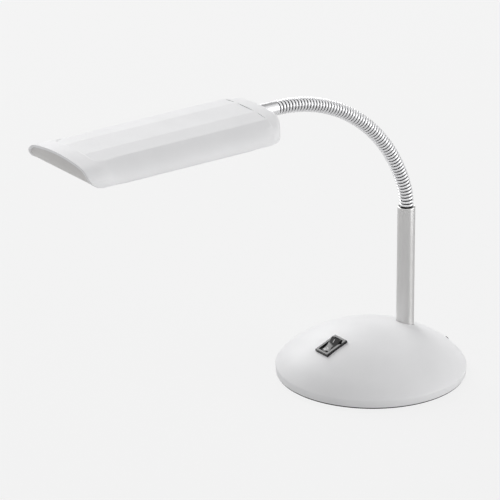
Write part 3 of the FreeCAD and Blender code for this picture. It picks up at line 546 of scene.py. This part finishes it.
NECK_START = 131.4825
RIB_PITCH = 2.915
LINK_RIBS = 3
LINK_COUNT = 21
LINK_LENGTH = LINK_RIBS * RIB_PITCH
NECK_LENGTH = LINK_COUNT * LINK_LENGTH
LOW_BEND_RADIUS = 58.0
LOW_BEND_TURN = math.radians(18.0)
HIGH_BEND_TURN = math.radians(71.0)
LOW_BEND_LENGTH = LOW_BEND_RADIUS * LOW_BEND_TURN
HIGH_BEND_RADIUS = (NECK_LENGTH - LOW_BEND_LENGTH) / HIGH_BEND_TURN
RING_RADIUS = 5.75
RING_STEPS = 8
RING_FULLNESS = 0.8
RING_LIP = 0.25
HINGE_GAP = 0.45
LINER_RADIUS = 4.5
LINER_MOUTH_RADIUS = 4.42
LINER_END_RADIUS = 4.2
LINER_BORE = 3.8
LINER_REACH = 0.6
LINER_MOUTH = 2.2
LEAD_RADIUS = 1.2


def neck_frame(distance):
    """Place and turn of the gooseneck's centre line at a distance from the pole's top."""
    low = min(max(distance, 0.0), LOW_BEND_LENGTH)
    turn = low / LOW_BEND_RADIUS
    y = POLE_Y - LOW_BEND_RADIUS * (1 - math.cos(turn))
    z = NECK_START + LOW_BEND_RADIUS * math.sin(turn)
    if distance > LOW_BEND_LENGTH:
        more = (distance - LOW_BEND_LENGTH) / HIGH_BEND_RADIUS
        y -= HIGH_BEND_RADIUS * (math.cos(turn) - math.cos(turn + more))
        z += HIGH_BEND_RADIUS * (math.sin(turn + more) - math.sin(turn))
        turn += more
    elif distance < 0:
        z += distance
    return Matrix.Translation((0, y, z)) @ Matrix.Rotation(turn, 4, "X")


def ring_outline(width, rise):
    """Half-round section of one ring."""
    half = width / 2
    foot = RING_RADIUS - rise
    points = [(foot, half)]
    for i in range(1, RING_STEPS):
        angle = math.pi * i / RING_STEPS
        points.append((foot + rise * math.sin(angle) ** RING_FULLNESS, half * math.cos(angle)))
    points += [(foot, -half), (foot - RING_LIP, -half * 0.9), (foot - RING_LIP, half * 0.9)]
    return points


def link_name(number):
    """Name of a link's body."""
    return "link_{:02d}".format(number)


class LAMP_OT_gooseneck(bpy.types.Operator):
    """Rings of the gooseneck and the dark liner that shows between them"""
    bl_idname = "lamp.gooseneck"
    bl_label = "Gooseneck"

    def execute(self, context):
        sizes = context.scene.lamp_sizes
        outline = ring_outline(sizes.ring_width / MM, sizes.ring_rise / MM)
        for number in range(1, LINK_COUNT + 1):
            self.rings(number, outline)
        self.liner(0, "base", -2 * HINGE_GAP, -HINGE_GAP)
        for number in range(1, LINK_COUNT + 1):
            start = (number - 1) * LINK_LENGTH
            self.liner(number, link_name(number), start + HINGE_GAP, start + LINK_LENGTH - HINGE_GAP)
        return {"FINISHED"}

    def rings(self, number, outline):
        """The rings of one link."""
        bm = bmesh.new()
        for rib in range(LINK_RIBS):
            middle = ((number - 1) * LINK_RIBS + rib + 0.5) * RIB_PITCH
            join_bmesh(bm, spun(outline, steps=48), neck_frame(middle))
        rings = piece_from(bm, "neck_rings_{:02d}".format(number), finish_named("ring_bright"), sharp=50.0)
        settle(rings, link_name(number), "neck_metal", "neck_link_{:02d}".format(number))

    def liner(self, number, body, start, end):
        """Dark liner and lead of one link. Its narrow end reaches into the next link's liner."""
        last = number == LINK_COUNT
        reach = HINGE_GAP - 0.1 if last else 2 * HINGE_GAP + LINER_REACH
        middle = (start + end) / 2
        mouth = min(start + LINER_MOUTH, middle - 0.1) if number > 0 else start + 0.2
        outside = [(LINER_RADIUS, start), (LINER_RADIUS, middle), (LINER_RADIUS, end), (LINER_END_RADIUS, end),
                   (LINER_END_RADIUS, end + reach)]
        inside = [(LINER_BORE, end + reach), (LINER_BORE, middle), (LINER_BORE, mouth),
                  (LINER_MOUTH_RADIUS, mouth), (LINER_MOUTH_RADIUS, start)]
        bm = spun(outside + inside, steps=36)
        core = [(0, start), (LEAD_RADIUS, start), (LEAD_RADIUS, middle), (LEAD_RADIUS, end), (0, end)]
        lead = spun(core, steps=16, closed=False)
        for face in lead.faces:
            face.material_index = 1
        join_bmesh(bm, lead, Matrix.Identity(4))
        for v in bm.verts:
            v.co = neck_frame(v.co.z) @ Vector((v.co.x, v.co.y, 0.0))
        liner = piece_from(bm, "neck_liner_{:02d}".format(number), finish_named("gland_plastic"))
        liner.data.materials.append(finish_named("lead_grey_sheath"))
        settle(liner, body, "gland_black", "neck_lead")


# ---- Head

HEAD_TILT = math.radians(1.0)
HEAD_HALF = 40.7
HEAD_TOP = 7.3
HEAD_BOTTOM = -10.4
HEAD_REAR = 16.0
HEAD_FRONT = 202.4
REAR_CORNER = 22.4
FRONT_CORNER = 2.5
MOUTH_SETBACK = 12.6
RIDGE_INNER = 12.2
RIDGE_OUTER = 27.4
PANEL_REAR = 29.3
PANEL_FRONT = 186.9
PANEL_CORNER = 7.0
PANEL_STEPS = 26
GROOVE_WIDTH = 0.75
GROOVE_DEPTH = 1.2
GROOVE_SPAN = 0.72
FRONT_SINK = 0.32
FRONT_STEP = 1.1
SINK_START = 158.0
SINK_LENGTH = 26.0
CREASE_REAR_LENGTH = 12.0
CREASE_FRONT_START = 176.0
CREASE_FRONT_LENGTH = 14.0
SMOOTH_CROWN_RADIUS = 155.0
CREASED_CROWN_RADIUS = 200.0
SMOOTH_SIDE_RADIUS = 14.0
CREASED_SIDE_RADIUS = 20.0
CORNER_ROWS_END = 42.0
CORNER_PASSES = 12
COLLAR_OUTLINE = [(2.4, -0.6), (2.4, -28.5), (4.5, -28.5), (4.5, -19.5), (5.75, -19.5), (5.75, -1.1),
                  (5.62, -0.75), (5.3, -0.6)]
TRAY_EDGE = 0.00035
# Points closer than this count as being at the same place.
NEAR = 0.01
# Marks of the vertices on the ridges and steps, for sharp edges; a vertex can carry more than one.
INNER_RIDGE = 1
OUTER_RIDGE = 2
STEP = 4


def head_matrix():
    """From the head's axes to the lamp's: origin at the neck's end, the head along -Y."""
    return Matrix.Translation(neck_frame(NECK_LENGTH).to_translation()) @ Matrix.Rotation(-HEAD_TILT, 4, "X")


def crease(d):
    """How far the head's side breaks away from its top at a distance along it: 0 smooth, 1 creased."""
    front = smoothstep((d - CREASE_FRONT_START) / CREASE_FRONT_LENGTH)
    return smoothstep((d - HEAD_REAR) / CREASE_REAR_LENGTH) * (1.0 - front)


def crown_height(x, share):
    """Height of the head's arched top at a distance from the middle, at a share of the crease."""
    radius = mixed(SMOOTH_CROWN_RADIUS, CREASED_CROWN_RADIUS, share)
    return HEAD_TOP - radius + math.sqrt(radius ** 2 - x ** 2)


def side_drop(edge, share):
    """How far the side falls below the crown at a distance inside the outline."""
    x = HEAD_HALF - edge
    drops = []
    for radius, crown, start in ((SMOOTH_SIDE_RADIUS, 0.0, None), (CREASED_SIDE_RADIUS, 1.0, RIDGE_OUTER)):
        centre_x = HEAD_HALF - radius
        if start is None:
            span = SMOOTH_CROWN_RADIUS - radius
            centre_z = HEAD_TOP - SMOOTH_CROWN_RADIUS + math.sqrt(span ** 2 - centre_x ** 2)
            start = SMOOTH_CROWN_RADIUS * centre_x / span
        else:
            centre_z = crown_height(start, crown) - math.sqrt(radius ** 2 - (start - centre_x) ** 2)
        if x <= start:
            drops.append(0.0)
        else:
            height = centre_z + math.sqrt(max(radius ** 2 - (x - centre_x) ** 2, 0.0))
            drops.append(crown_height(x, crown) - height)
    return mixed(drops[0], drops[1], share)


def rear_drop(edge, roll):
    """How far the rear falls below the crown at a distance inside the outline."""
    return roll - math.sqrt(roll ** 2 - (roll - edge) ** 2) if edge < roll else 0.0


def outline_place(x, d):
    """Distance inside the head's outline, and 0 at the side to 1 at the rear around the corner."""
    out_x = abs(x) - (HEAD_HALF - REAR_CORNER)
    out_d = HEAD_REAR + REAR_CORNER - d
    if out_x > 0 and out_d > 0:
        edge = REAR_CORNER - math.hypot(out_x, out_d)
        return max(edge, 0.0), smoothstep(math.atan2(out_d, out_x) / (math.pi / 2))
    if out_d > 0:
        return d - HEAD_REAR, 1.0
    return HEAD_HALF - abs(x), 0.0


def skin_height(x, d, roll):
    """Height of the skin outside the facets."""
    edge, rear_share = outline_place(x, d)
    share = crease(d)
    drop = mixed(side_drop(edge, share), rear_drop(edge, roll), rear_share)
    return max(crown_height(x, share) - drop, HEAD_BOTTOM + 0.5)


def facet_height(x, d):
    """Height of the flat facets, which sink a little towards their front end."""
    share = crease(d)
    inner = crown_height(RIDGE_INNER, share)
    outer = crown_height(RIDGE_OUTER, share)
    along = (abs(x) - RIDGE_INNER) / (RIDGE_OUTER - RIDGE_INNER)
    sink = FRONT_SINK * smoothstep((d - SINK_START) / SINK_LENGTH) if abs(x) < RIDGE_OUTER + NEAR else 0.0
    return mixed(inner, outer, max(along, 0.0)) - sink


def groove_depth(x):
    """Depth of the short groove at the rear end of each facet; it runs out before the ridges."""
    if abs(x) < RIDGE_INNER:
        share = x / RIDGE_INNER
    else:
        share = 2 * (abs(x) - RIDGE_INNER) / (RIDGE_OUTER - RIDGE_INNER) - 1
    return GROOVE_DEPTH * max(1.0 - (share / GROOVE_SPAN) ** 2, 0.0)


def panel_front_edge(x):
    """Where the facets end towards the mouth: straight, with a rounded corner at each side."""
    over = min(max(abs(x) - (RIDGE_OUTER - PANEL_CORNER), 0.0), PANEL_CORNER)
    return PANEL_FRONT - PANEL_CORNER + math.sqrt(PANEL_CORNER ** 2 - over ** 2)


def mouth_edge(x, z):
    """Where the skin ends at the mouth; its lower part sweeps back."""
    fall = max(HEAD_BOTTOM + MOUTH_SETBACK - z, 0.0)
    swept = HEAD_FRONT - MOUTH_SETBACK + math.sqrt(max(MOUTH_SETBACK ** 2 - fall ** 2, 0.0))
    over = min(max(abs(x) - (HEAD_HALF - FRONT_CORNER), 0.0), FRONT_CORNER)
    corner = HEAD_FRONT - FRONT_CORNER + math.sqrt(FRONT_CORNER ** 2 - over ** 2)
    return min(swept, corner)


def corner_plan(x, d):
    """Moves a point of the square plan into the rounded rear corner."""
    u = (abs(x) - (HEAD_HALF - REAR_CORNER)) / REAR_CORNER
    v = (HEAD_REAR + REAR_CORNER - d) / REAR_CORNER
    if u <= 0 or v <= 0:
        return x, d
    weight = smoothstep((max(u, v) - 0.45) / 0.55)
    new_u = mixed(u, u * math.sqrt(1 - v * v / 2), weight)
    new_v = mixed(v, v * math.sqrt(1 - u * u / 2), weight)
    side = 1 if x > 0 else -1
    return side * (HEAD_HALF - REAR_CORNER + new_u * REAR_CORNER), HEAD_REAR + REAR_CORNER - new_v * REAR_CORNER


def skin_columns():
    """Distances across the head, closer together where it curves."""
    inner = [0.0, 2.1, 4.1, 6.2, 8.2, 10.2, RIDGE_INNER, 14.2, 16.2, 18.3, 20.4, 22.4, 24.2, 25.6, 26.6, 27.2,
             RIDGE_OUTER]
    outer = [HEAD_HALF - edge for edge in (11.6, 10.0, 8.4, 6.8, 5.4, 4.2, 3.1, 2.1, 1.3, 0.7, 0.25, 0.0)]
    half = inner + outer
    return [-x for x in reversed(half[1:])] + half


def skin_rows():
    """Rows along the head as (zone, distance), or as (zone, share) on the panel and the front strip."""
    rear = [0.0, 0.2, 0.5, 1.0, 1.6, 2.3, 3.2, 4.4, 6.0, 8.0, 10.0, 12.0, PANEL_REAR - HEAD_REAR]
    rows = [("rear", HEAD_REAR + e) for e in rear]
    rows += [("groove", PANEL_REAR + e) for e in (0.1, GROOVE_WIDTH - 0.1)]
    rows += [("panel", i / PANEL_STEPS) for i in range(PANEL_STEPS + 1)]
    rows += [("front", share) for share in (0.0, 0.15, 0.3, 0.45, 0.6, 0.72, 0.82, 0.91, 1.0)]
    return rows


def skin_point(x, row, roll):
    """Point of the skin for a column and a row: across, along and up."""
    zone, value = row
    if zone == "rear":
        x, d = corner_plan(x, value)
        return x, d, skin_height(x, d, roll)
    if zone == "groove":
        x, d = corner_plan(x, value)
        if abs(x) > RIDGE_OUTER - NEAR:
            return x, d, skin_height(x, d, roll)
        return x, d, facet_height(x, d) - groove_depth(x)
    end = panel_front_edge(x)
    if zone == "panel":
        x, d = corner_plan(x, mixed(PANEL_REAR + GROOVE_WIDTH, end, value))
        inside = abs(x) < RIDGE_OUTER + NEAR
        return x, d, facet_height(x, d) if inside else skin_height(x, d, roll)
    front = mouth_edge(x, skin_height(x, HEAD_FRONT, roll))
    d = mixed(end + FRONT_STEP, front, value)
    return x, d, skin_height(x, d, roll)


def skin_bmesh(roll):
    """Top and sides of the head as a grid, with its ridges and steps marked sharp."""
    columns = skin_columns()
    rows = skin_rows()
    bm = bmesh.new()
    bmesh.ops.create_grid(bm, x_segments=len(columns) - 1, y_segments=len(rows) - 1, size=1.0)
    marks = bm.verts.layers.int.new("ridge")
    step_rows = [i for i, row in enumerate(rows)
                 if row[0] == "groove" or row in (("panel", 0.0), ("panel", 1.0), ("front", 0.0))]
    step_rows.append(step_rows[0] - 1)
    for v in bm.verts:
        i = round((v.co.x + 1) / 2 * (len(columns) - 1))
        j = round((v.co.y + 1) / 2 * (len(rows) - 1))
        x, d, z = skin_point(columns[i], rows[j], roll)
        across = abs(columns[i])
        on_panel = rows[j][0] == "panel"
        if on_panel and abs(across - RIDGE_INNER) < NEAR:
            v[marks] += INNER_RIDGE
        if on_panel and abs(across - RIDGE_OUTER) < NEAR:
            v[marks] += OUTER_RIDGE
        if j in step_rows and across < RIDGE_OUTER + NEAR:
            v[marks] += STEP
        v.co = (x, -d, z)
    corners = [v for v in bm.verts
               if abs(v.co.x) > RIDGE_OUTER + 0.2 and -v.co.y < CORNER_ROWS_END and not v.is_boundary]
    for _ in range(CORNER_PASSES):
        bmesh.ops.smooth_vert(bm, verts=corners, factor=0.5, use_axis_x=False, use_axis_y=False,
                              use_axis_z=True)
    for e in bm.edges:
        if e.verts[0][marks] & e.verts[1][marks] and same_line(e, marks):
            e.smooth = False
    return bm


def same_line(edge, layer):
    """True for an edge that runs along one ridge or one step."""
    a, b = edge.verts
    shared = a[layer] & b[layer]
    if shared & (INNER_RIDGE | OUTER_RIDGE):
        return abs(abs(a.co.x) - abs(b.co.x)) < 0.2
    return abs(a.co.x - b.co.x) > abs(a.co.y - b.co.y) * 0.05


class LAMP_OT_head(bpy.types.Operator):
    """Skin of the head with its three facets, the collar at its rear, and the tray below"""
    bl_idname = "lamp.head"
    bl_label = "Head"

    def execute(self, context):
        sizes = context.scene.lamp_sizes
        bm = skin_bmesh(sizes.rear_roll / MM)
        rim = [e for e in bm.edges if e.is_boundary and not self.on_mouth(e)]
        for v in verts_of(bmesh.ops.extrude_edge_only(bm, edges=rim)):
            v.co.z = HEAD_BOTTOM
            v.co.y = max(v.co.y, -mouth_edge(v.co.x, HEAD_BOTTOM))
        bmesh.ops.recalc_face_normals(bm, faces=bm.faces)
        if sum(f.normal.z * f.calc_area() for f in bm.faces) < 0:
            bmesh.ops.reverse_faces(bm, faces=bm.faces)
        ridges = {tuple(round(c, 3) for c in (e.verts[0].co + e.verts[1].co)) for e in bm.edges if not e.smooth}
        skin = piece_from(bm, "head_skin", finish_named("shell_plastic"), head_matrix(), sharp=38.0)
        self.mark_ridges(skin, ridges)
        skin.data.materials.append(finish_named("tray_plastic"))
        wall = skin.modifiers.new("wall", "SOLIDIFY")
        wall.thickness = sizes.head_wall
        wall.offset = -1.0
        wall.material_offset_rim = 1
        bake(skin)
        self.round_lip(skin, sizes.head_lip)
        settle(skin, "head", "white_shell", "shade_shell")

        place = head_matrix() @ Matrix.Rotation(-math.pi / 2, 4, "X")
        collar = piece_from(spun(COLLAR_OUTLINE, steps=72), "neck_collar", finish_named("ring_bright"), place)
        settle(collar, "head", "neck_metal", "neck_sleeve")

        tray = merged_copy("lamp_tray", "tray_shell", finish_named("tray_plastic"), TRAY_EDGE)
        settle(tray, "head", "tray_white", "lamp_tray")
        return {"FINISHED"}

    def on_mouth(self, edge):
        """True for an edge of the front boundary."""
        middle = (edge.verts[0].co + edge.verts[1].co) / 2
        front = -mouth_edge(middle.x, middle.z)
        return abs(middle.y - front) < 0.6 and abs(edge.verts[0].co.x - edge.verts[1].co.x) > 1e-4

    def round_lip(self, skin, width):
        """Rounds both edges of the rim, whose faces the wall has put in the second material."""
        bm = bmesh.new()
        bm.from_mesh(skin.data)
        lip = [e for e in bm.edges
               if sum(f.material_index for f in e.link_faces) == 1 and len(e.link_faces) == 2]
        round_edges(bm, lip, width, 3, clamp=True)
        for face in bm.faces:
            face.material_index = 0
        bm.to_mesh(skin.data)
        bm.free()
        skin.data.materials.pop(index=1)

    def mark_ridges(self, skin, ridges):
        """Marks as sharp the skin's edges whose two ends, in the head's axes, add up to one of the ridges."""
        back = (Matrix.Scale(MM, 4) @ head_matrix()).inverted()
        verts = skin.data.vertices
        for edge in skin.data.edges:
            total = back @ verts[edge.vertices[0]].co + back @ verts[edge.vertices[1]].co
            if tuple(round(c, 3) for c in total) in ridges:
                edge.use_edge_sharp = True


# ---- Switch

ROCKER_TURN = 11.0
ROCKER_PIVOT = -1.5
ROCKER_VALLEY = 2.25
ROCKER_TIP = 3.99
ROCKER_REACH = 7.16
ROCKER_END = 8.2
ROCKER_HALF = 5.05
ROCKER_FOOT_ANGLE = -0.27
FACE_STEPS = 10
END_STEPS = 6
MARK_PLACE = 4.4
RING_MARK = [(1.05, 0.0), (1.6, 0.0), (1.6, 0.06), (1.05, 0.06)]
BAR_MARK = (0.55, 2.9, 0.1)
BAR_CORNER = 0.2


class LAMP_OT_switch(bpy.types.Operator):
    """Switch bezel, rocker and its two marks"""
    bl_idname = "lamp.switch"
    bl_label = "Switch"

    def execute(self, context):
        sizes = context.scene.lamp_sizes
        black = finish_named("switch_plastic")
        bezel = merged_copy("switch_housing", "switch_bezel", black, sizes.switch_edge)
        settle(bezel, "base", "switch_black", "switch_housing")
        self.paddle(black, sizes.switch_edge * 0.6)

        ring = spun(RING_MARK, steps=40)
        off_mark = piece_from(ring, "mark_off", finish_named("mark_paint"), self.face_matrix(-1, 0.0))
        settle(off_mark, "rocker", "switch_black")
        bar = bmesh.new()
        bmesh.ops.create_cube(bar, size=1.0)
        bmesh.ops.scale(bar, vec=BAR_MARK, verts=bar.verts)
        bmesh.ops.translate(bar, vec=(0, 0, 0.02), verts=bar.verts)
        upright = [e for e in bar.edges if abs(e.verts[0].co.z - e.verts[1].co.z) > NEAR]
        round_edges(bar, upright, BAR_CORNER, 4)
        on_mark = piece_from(bar, "mark_on", finish_named("mark_paint"), self.face_matrix(1, -0.6))
        settle(on_mark, "rocker", "switch_black")
        return {"FINISHED"}

    def paddle(self, material, edge):
        """Rocker with one hollow curve over both halves and round ends that clear the bezel."""
        places = [ROCKER_REACH * i / FACE_STEPS for i in range(-FACE_STEPS, FACE_STEPS + 1)]
        top = [(y, self.face_height(y)) for y in places]
        tip = math.atan2(top[-1][1], top[-1][0])
        angles = [mixed(tip, ROCKER_FOOT_ANGLE, i / END_STEPS) for i in range(1, END_STEPS + 1)]
        end = [(ROCKER_END * math.cos(angle), ROCKER_END * math.sin(angle)) for angle in angles]
        outline = top + end + [(-y, z) for y, z in reversed(end)]
        bm = bmesh.new()
        face = bm.faces.new([bm.verts.new((-ROCKER_HALF, y, z)) for y, z in outline])
        made = bmesh.ops.extrude_face_region(bm, geom=[face], use_keep_orig=True)
        bmesh.ops.translate(bm, vec=(2 * ROCKER_HALF, 0, 0), verts=verts_of(made))
        bmesh.ops.recalc_face_normals(bm, faces=bm.faces)
        rims = [e for e in bm.edges if abs(e.verts[0].co.x - e.verts[1].co.x) < NEAR]
        round_edges(bm, rims, edge / MM, 3)
        paddle = piece_from(bm, "switch_paddle", material, self.pivot_matrix(), sharp=40.0)
        settle(paddle, "rocker", "switch_black", "switch_rocker")

    def face_height(self, y):
        """Height of the rocker's hollow face over its pivot."""
        return ROCKER_VALLEY + (ROCKER_TIP - ROCKER_VALLEY) * (y / ROCKER_REACH) ** 2

    def pivot_matrix(self):
        """The rocker's own axes at its pivot, turned to the pressed front half."""
        place = Matrix.Translation((0, 0, ROCKER_PIVOT)) @ Matrix.Rotation(math.radians(ROCKER_TURN), 4, "X")
        return switch_matrix() @ place

    def face_matrix(self, side, x):
        """Middle of one half of the rocker, square to its face; -1 is the pressed half."""
        y = side * MARK_PLACE
        slope = math.atan(2 * (ROCKER_TIP - ROCKER_VALLEY) * y / ROCKER_REACH ** 2)
        face = Matrix.Translation((x, y, self.face_height(y) + 0.03)) @ Matrix.Rotation(slope, 4, "X")
        return self.pivot_matrix() @ face


# ---- Finishes of the CAD's own nodes

class LAMP_OT_finishes(bpy.types.Operator):
    """Materials of every piece, put on the CAD's own nodes by their slots"""
    bl_idname = "lamp.finishes"
    bl_label = "Finishes"

    def execute(self, context):
        finishes = make_finishes(context.scene.lamp_colours)
        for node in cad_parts.values():
            for material_slot in node.material_slots:
                material_slot.material = finishes[material_slot.name]
        # Painted shade: the bush's metal is darkened to 0.26 grey so that it stands in for the shade where the
        # gooseneck goes into the pole.
        painted_shade_bush = satin_metal("bush_nickel_painted_shade", (0.26, 0.26, 0.26), 0.45, (1.0, 1.0, 0.2))
        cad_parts["neck_bush"].material_slots[0].material = painted_shade_bush
        moulded("mark_paint", context.scene.lamp_colours.marks, 0.4, 0.000002)
        return {"FINISHED"}


# ---- Stage

MIDDLE = Vector((0, -0.1, 0.12))
LAMP_DISTANCE = 4.0
# Name, direction from the middle, width and height in metres, power in watts.
LAMPS = (
    ("key", (-0.83, 0.13, 0.54), (2.4, 2.4), 76.0),
    ("rim", (-0.80, 0.56, 0.17), (1.6, 0.7), 5.0),
    ("glint", (-0.74, 0.44, 0.51), (0.55, 0.55), 3.0),
    ("side", (0.74, 0.66, 0.15), (2.8, 2.2), 62.0),
)
FLOOR_RADIUS = 9000.0
FLOOR_PLACE = -0.05
FLOOR_LIT_SHARE = 0.85
FLOOR_GLOW_SHARE = 0.88
WORLD_LIGHT = 0.54
WORLD_MIRRORED = 0.92
WORLD_MIRRORED_DARK = 0.35
DARK_DIRECTION = (-0.50, 0.45, 0.74)
DARK_FROM = 0.72
DARK_FULL = 0.95
CAMERA_AZIMUTH = math.radians(52.951)
CAMERA_HEIGHT = math.radians(22.28)
CAMERA_AIM = Vector((0.0, -0.118774, 0.131599))
CAMERA_DISTANCE = 4.0
CAMERA_LENS = 377.8


class LAMP_OT_stage(bpy.types.Operator):
    """Floor, soft lights, surroundings and camera"""
    bl_idname = "lamp.stage"
    bl_label = "Stage"

    def execute(self, context):
        colours = context.scene.lamp_colours
        self.floor(colours.floor)
        self.surroundings(colours.floor)
        for lamp in LAMPS:
            self.lamp(*lamp)
        self.camera(context)
        context.scene.view_settings.view_transform = "Standard"
        return {"FINISHED"}

    def floor(self, colour):
        """Wide round sheet of paper just below the lamp's foot."""
        bm = bmesh.new()
        bmesh.ops.create_circle(bm, cap_ends=True, segments=96, radius=FLOOR_RADIUS)
        material = bpy.data.materials.new("floor_paper")
        material.use_nodes = True
        shader = material.node_tree.nodes["Principled BSDF"]
        lit = [c * FLOOR_LIT_SHARE for c in colour]
        set_sockets(shader, {"Base Color": (*lit, 1.0), "Roughness": 0.9, "Specular IOR Level": 0.0})
        self.even_out(material, shader, colour)
        floor = piece_from(bm, "floor", material, Matrix.Translation((0, 0, FLOOR_PLACE)))

    def even_out(self, material, shader, colour):
        """For the camera, the paper's own colour makes up part of what the lamps light unevenly."""
        nodes = material.node_tree.nodes
        links = material.node_tree.links
        glow = nodes.new("ShaderNodeEmission")
        set_sockets(glow, {"Color": (*colour, 1.0)})
        path = nodes.new("ShaderNodeLightPath")
        share = nodes.new("ShaderNodeMath")
        share.operation = "MULTIPLY"
        share.inputs[1].default_value = FLOOR_GLOW_SHARE
        links.new(path.outputs["Is Camera Ray"], share.inputs[0])
        mix = self.mix(material.node_tree, share.outputs[0], shader, glow)
        links.new(mix.outputs[0], nodes["Material Output"].inputs["Surface"])

    def mix(self, tree, share, first, second):
        """Shader that goes from the first to the second with the share."""
        node = tree.nodes.new("ShaderNodeMixShader")
        tree.links.new(share, node.inputs[0])
        tree.links.new(first.outputs[0], node.inputs[1])
        tree.links.new(second.outputs[0], node.inputs[2])
        return node

    def surroundings(self, colour):
        """Even studio light. Mirrored rays see a darker zone, which keeps the head's top from a white sheen."""
        world = bpy.data.worlds.new("studio")
        bpy.context.scene.world = world
        world.use_nodes = True
        nodes = world.node_tree.nodes
        links = world.node_tree.links
        nodes.clear()
        path = nodes.new("ShaderNodeLightPath")
        seen = self.glow(nodes, colour, 1.0)
        lit = self.glow(nodes, (1.0, 1.0, 1.0), WORLD_LIGHT)
        mirrored = self.glow(nodes, (1.0, 1.0, 1.0), WORLD_MIRRORED)
        shade = nodes.new("ShaderNodeVectorMath")
        shade.operation = "DOT_PRODUCT"
        shade.inputs[1].default_value = Vector(DARK_DIRECTION).normalized()
        place = nodes.new("ShaderNodeTexCoord")
        level = nodes.new("ShaderNodeMapRange")
        level.interpolation_type = "SMOOTHSTEP"
        set_sockets(level, {"From Min": DARK_FROM, "From Max": DARK_FULL, "To Min": WORLD_MIRRORED,
                            "To Max": WORLD_MIRRORED_DARK})
        links.new(place.outputs["Generated"], shade.inputs[0])
        links.new(shade.outputs["Value"], level.inputs["Value"])
        links.new(level.outputs["Result"], mirrored.inputs["Strength"])
        mirror_ray = nodes.new("ShaderNodeMath")
        mirror_ray.operation = "MAXIMUM"
        links.new(path.outputs["Is Glossy Ray"], mirror_ray.inputs[0])
        links.new(path.outputs["Is Transmission Ray"], mirror_ray.inputs[1])
        inner = self.mix(world.node_tree, mirror_ray.outputs[0], lit, mirrored)
        outer = self.mix(world.node_tree, path.outputs["Is Camera Ray"], inner, seen)
        out = nodes.new("ShaderNodeOutputWorld")
        links.new(outer.outputs[0], out.inputs["Surface"])

    def glow(self, nodes, colour, strength):
        """Plain background of one colour."""
        node = nodes.new("ShaderNodeBackground")
        set_sockets(node, {"Color": (*colour, 1.0), "Strength": strength})
        return node

    def lamp(self, name, direction, size, power):
        """Large soft light, turned towards the middle of the stage."""
        light = bpy.data.lights.new(name, "AREA")
        light.shape = "RECTANGLE"
        light.size, light.size_y = size
        light.energy = power
        lamp = object_from(light, name)
        lamp.location = MIDDLE + Vector(direction).normalized() * LAMP_DISTANCE
        lamp.rotation_euler = (MIDDLE - lamp.location).to_track_quat("-Z", "Y").to_euler()

    def camera(self, context):
        """Long lens that sees the lamp from the side of its head and a little above."""
        level = math.cos(CAMERA_HEIGHT)
        back = Vector((math.sin(CAMERA_AZIMUTH) * level, -math.cos(CAMERA_AZIMUTH) * level,
                       math.sin(CAMERA_HEIGHT)))
        data = bpy.data.cameras.new("camera")
        data.sensor_width = 36.0
        data.lens = CAMERA_LENS
        data.clip_end = 50.0
        camera = object_from(data, "camera")
        camera.location = CAMERA_AIM + back * CAMERA_DISTANCE
        camera.rotation_euler = (-back).to_track_quat("-Z", "Y").to_euler()
        context.scene.camera = camera


# ---- Panel and registration

class LAMP_PT_panel(bpy.types.Panel):
    """Lists the lamp's operators, sizes and colours"""
    bl_idname = "LAMP_PT_panel"
    bl_label = "Desk lamp"
    bl_space_type = "VIEW_3D"
    bl_region_type = "UI"
    bl_category = "Lamp"

    def draw(self, context):
        layout = self.layout
        for operator in OPERATORS:
            layout.operator(operator.bl_idname)
        for group in (context.scene.lamp_sizes, context.scene.lamp_colours):
            for name in group.__annotations__:
                layout.prop(group, name)


OPERATORS = (LAMP_OT_finishes, LAMP_OT_base, LAMP_OT_pole, LAMP_OT_gooseneck, LAMP_OT_head, LAMP_OT_switch,
             LAMP_OT_stage)
CLASSES = (LampSizes, LampColours, *OPERATORS, LAMP_PT_panel)


def register():
    for cls in CLASSES:
        bpy.utils.register_class(cls)
    bpy.types.Scene.lamp_sizes = bpy.props.PointerProperty(type=LampSizes)
    bpy.types.Scene.lamp_colours = bpy.props.PointerProperty(type=LampColours)


def unregister():
    del bpy.types.Scene.lamp_colours
    del bpy.types.Scene.lamp_sizes
    for cls in reversed(CLASSES):
        bpy.utils.unregister_class(cls)


def main():
    register()
    bpy.ops.lamp.finishes()
    bpy.ops.lamp.base()
    bpy.ops.lamp.pole()
    bpy.ops.lamp.gooseneck()
    bpy.ops.lamp.head()
    bpy.ops.lamp.switch()
    bpy.ops.lamp.stage()


if __name__ == "__main__":
    main()
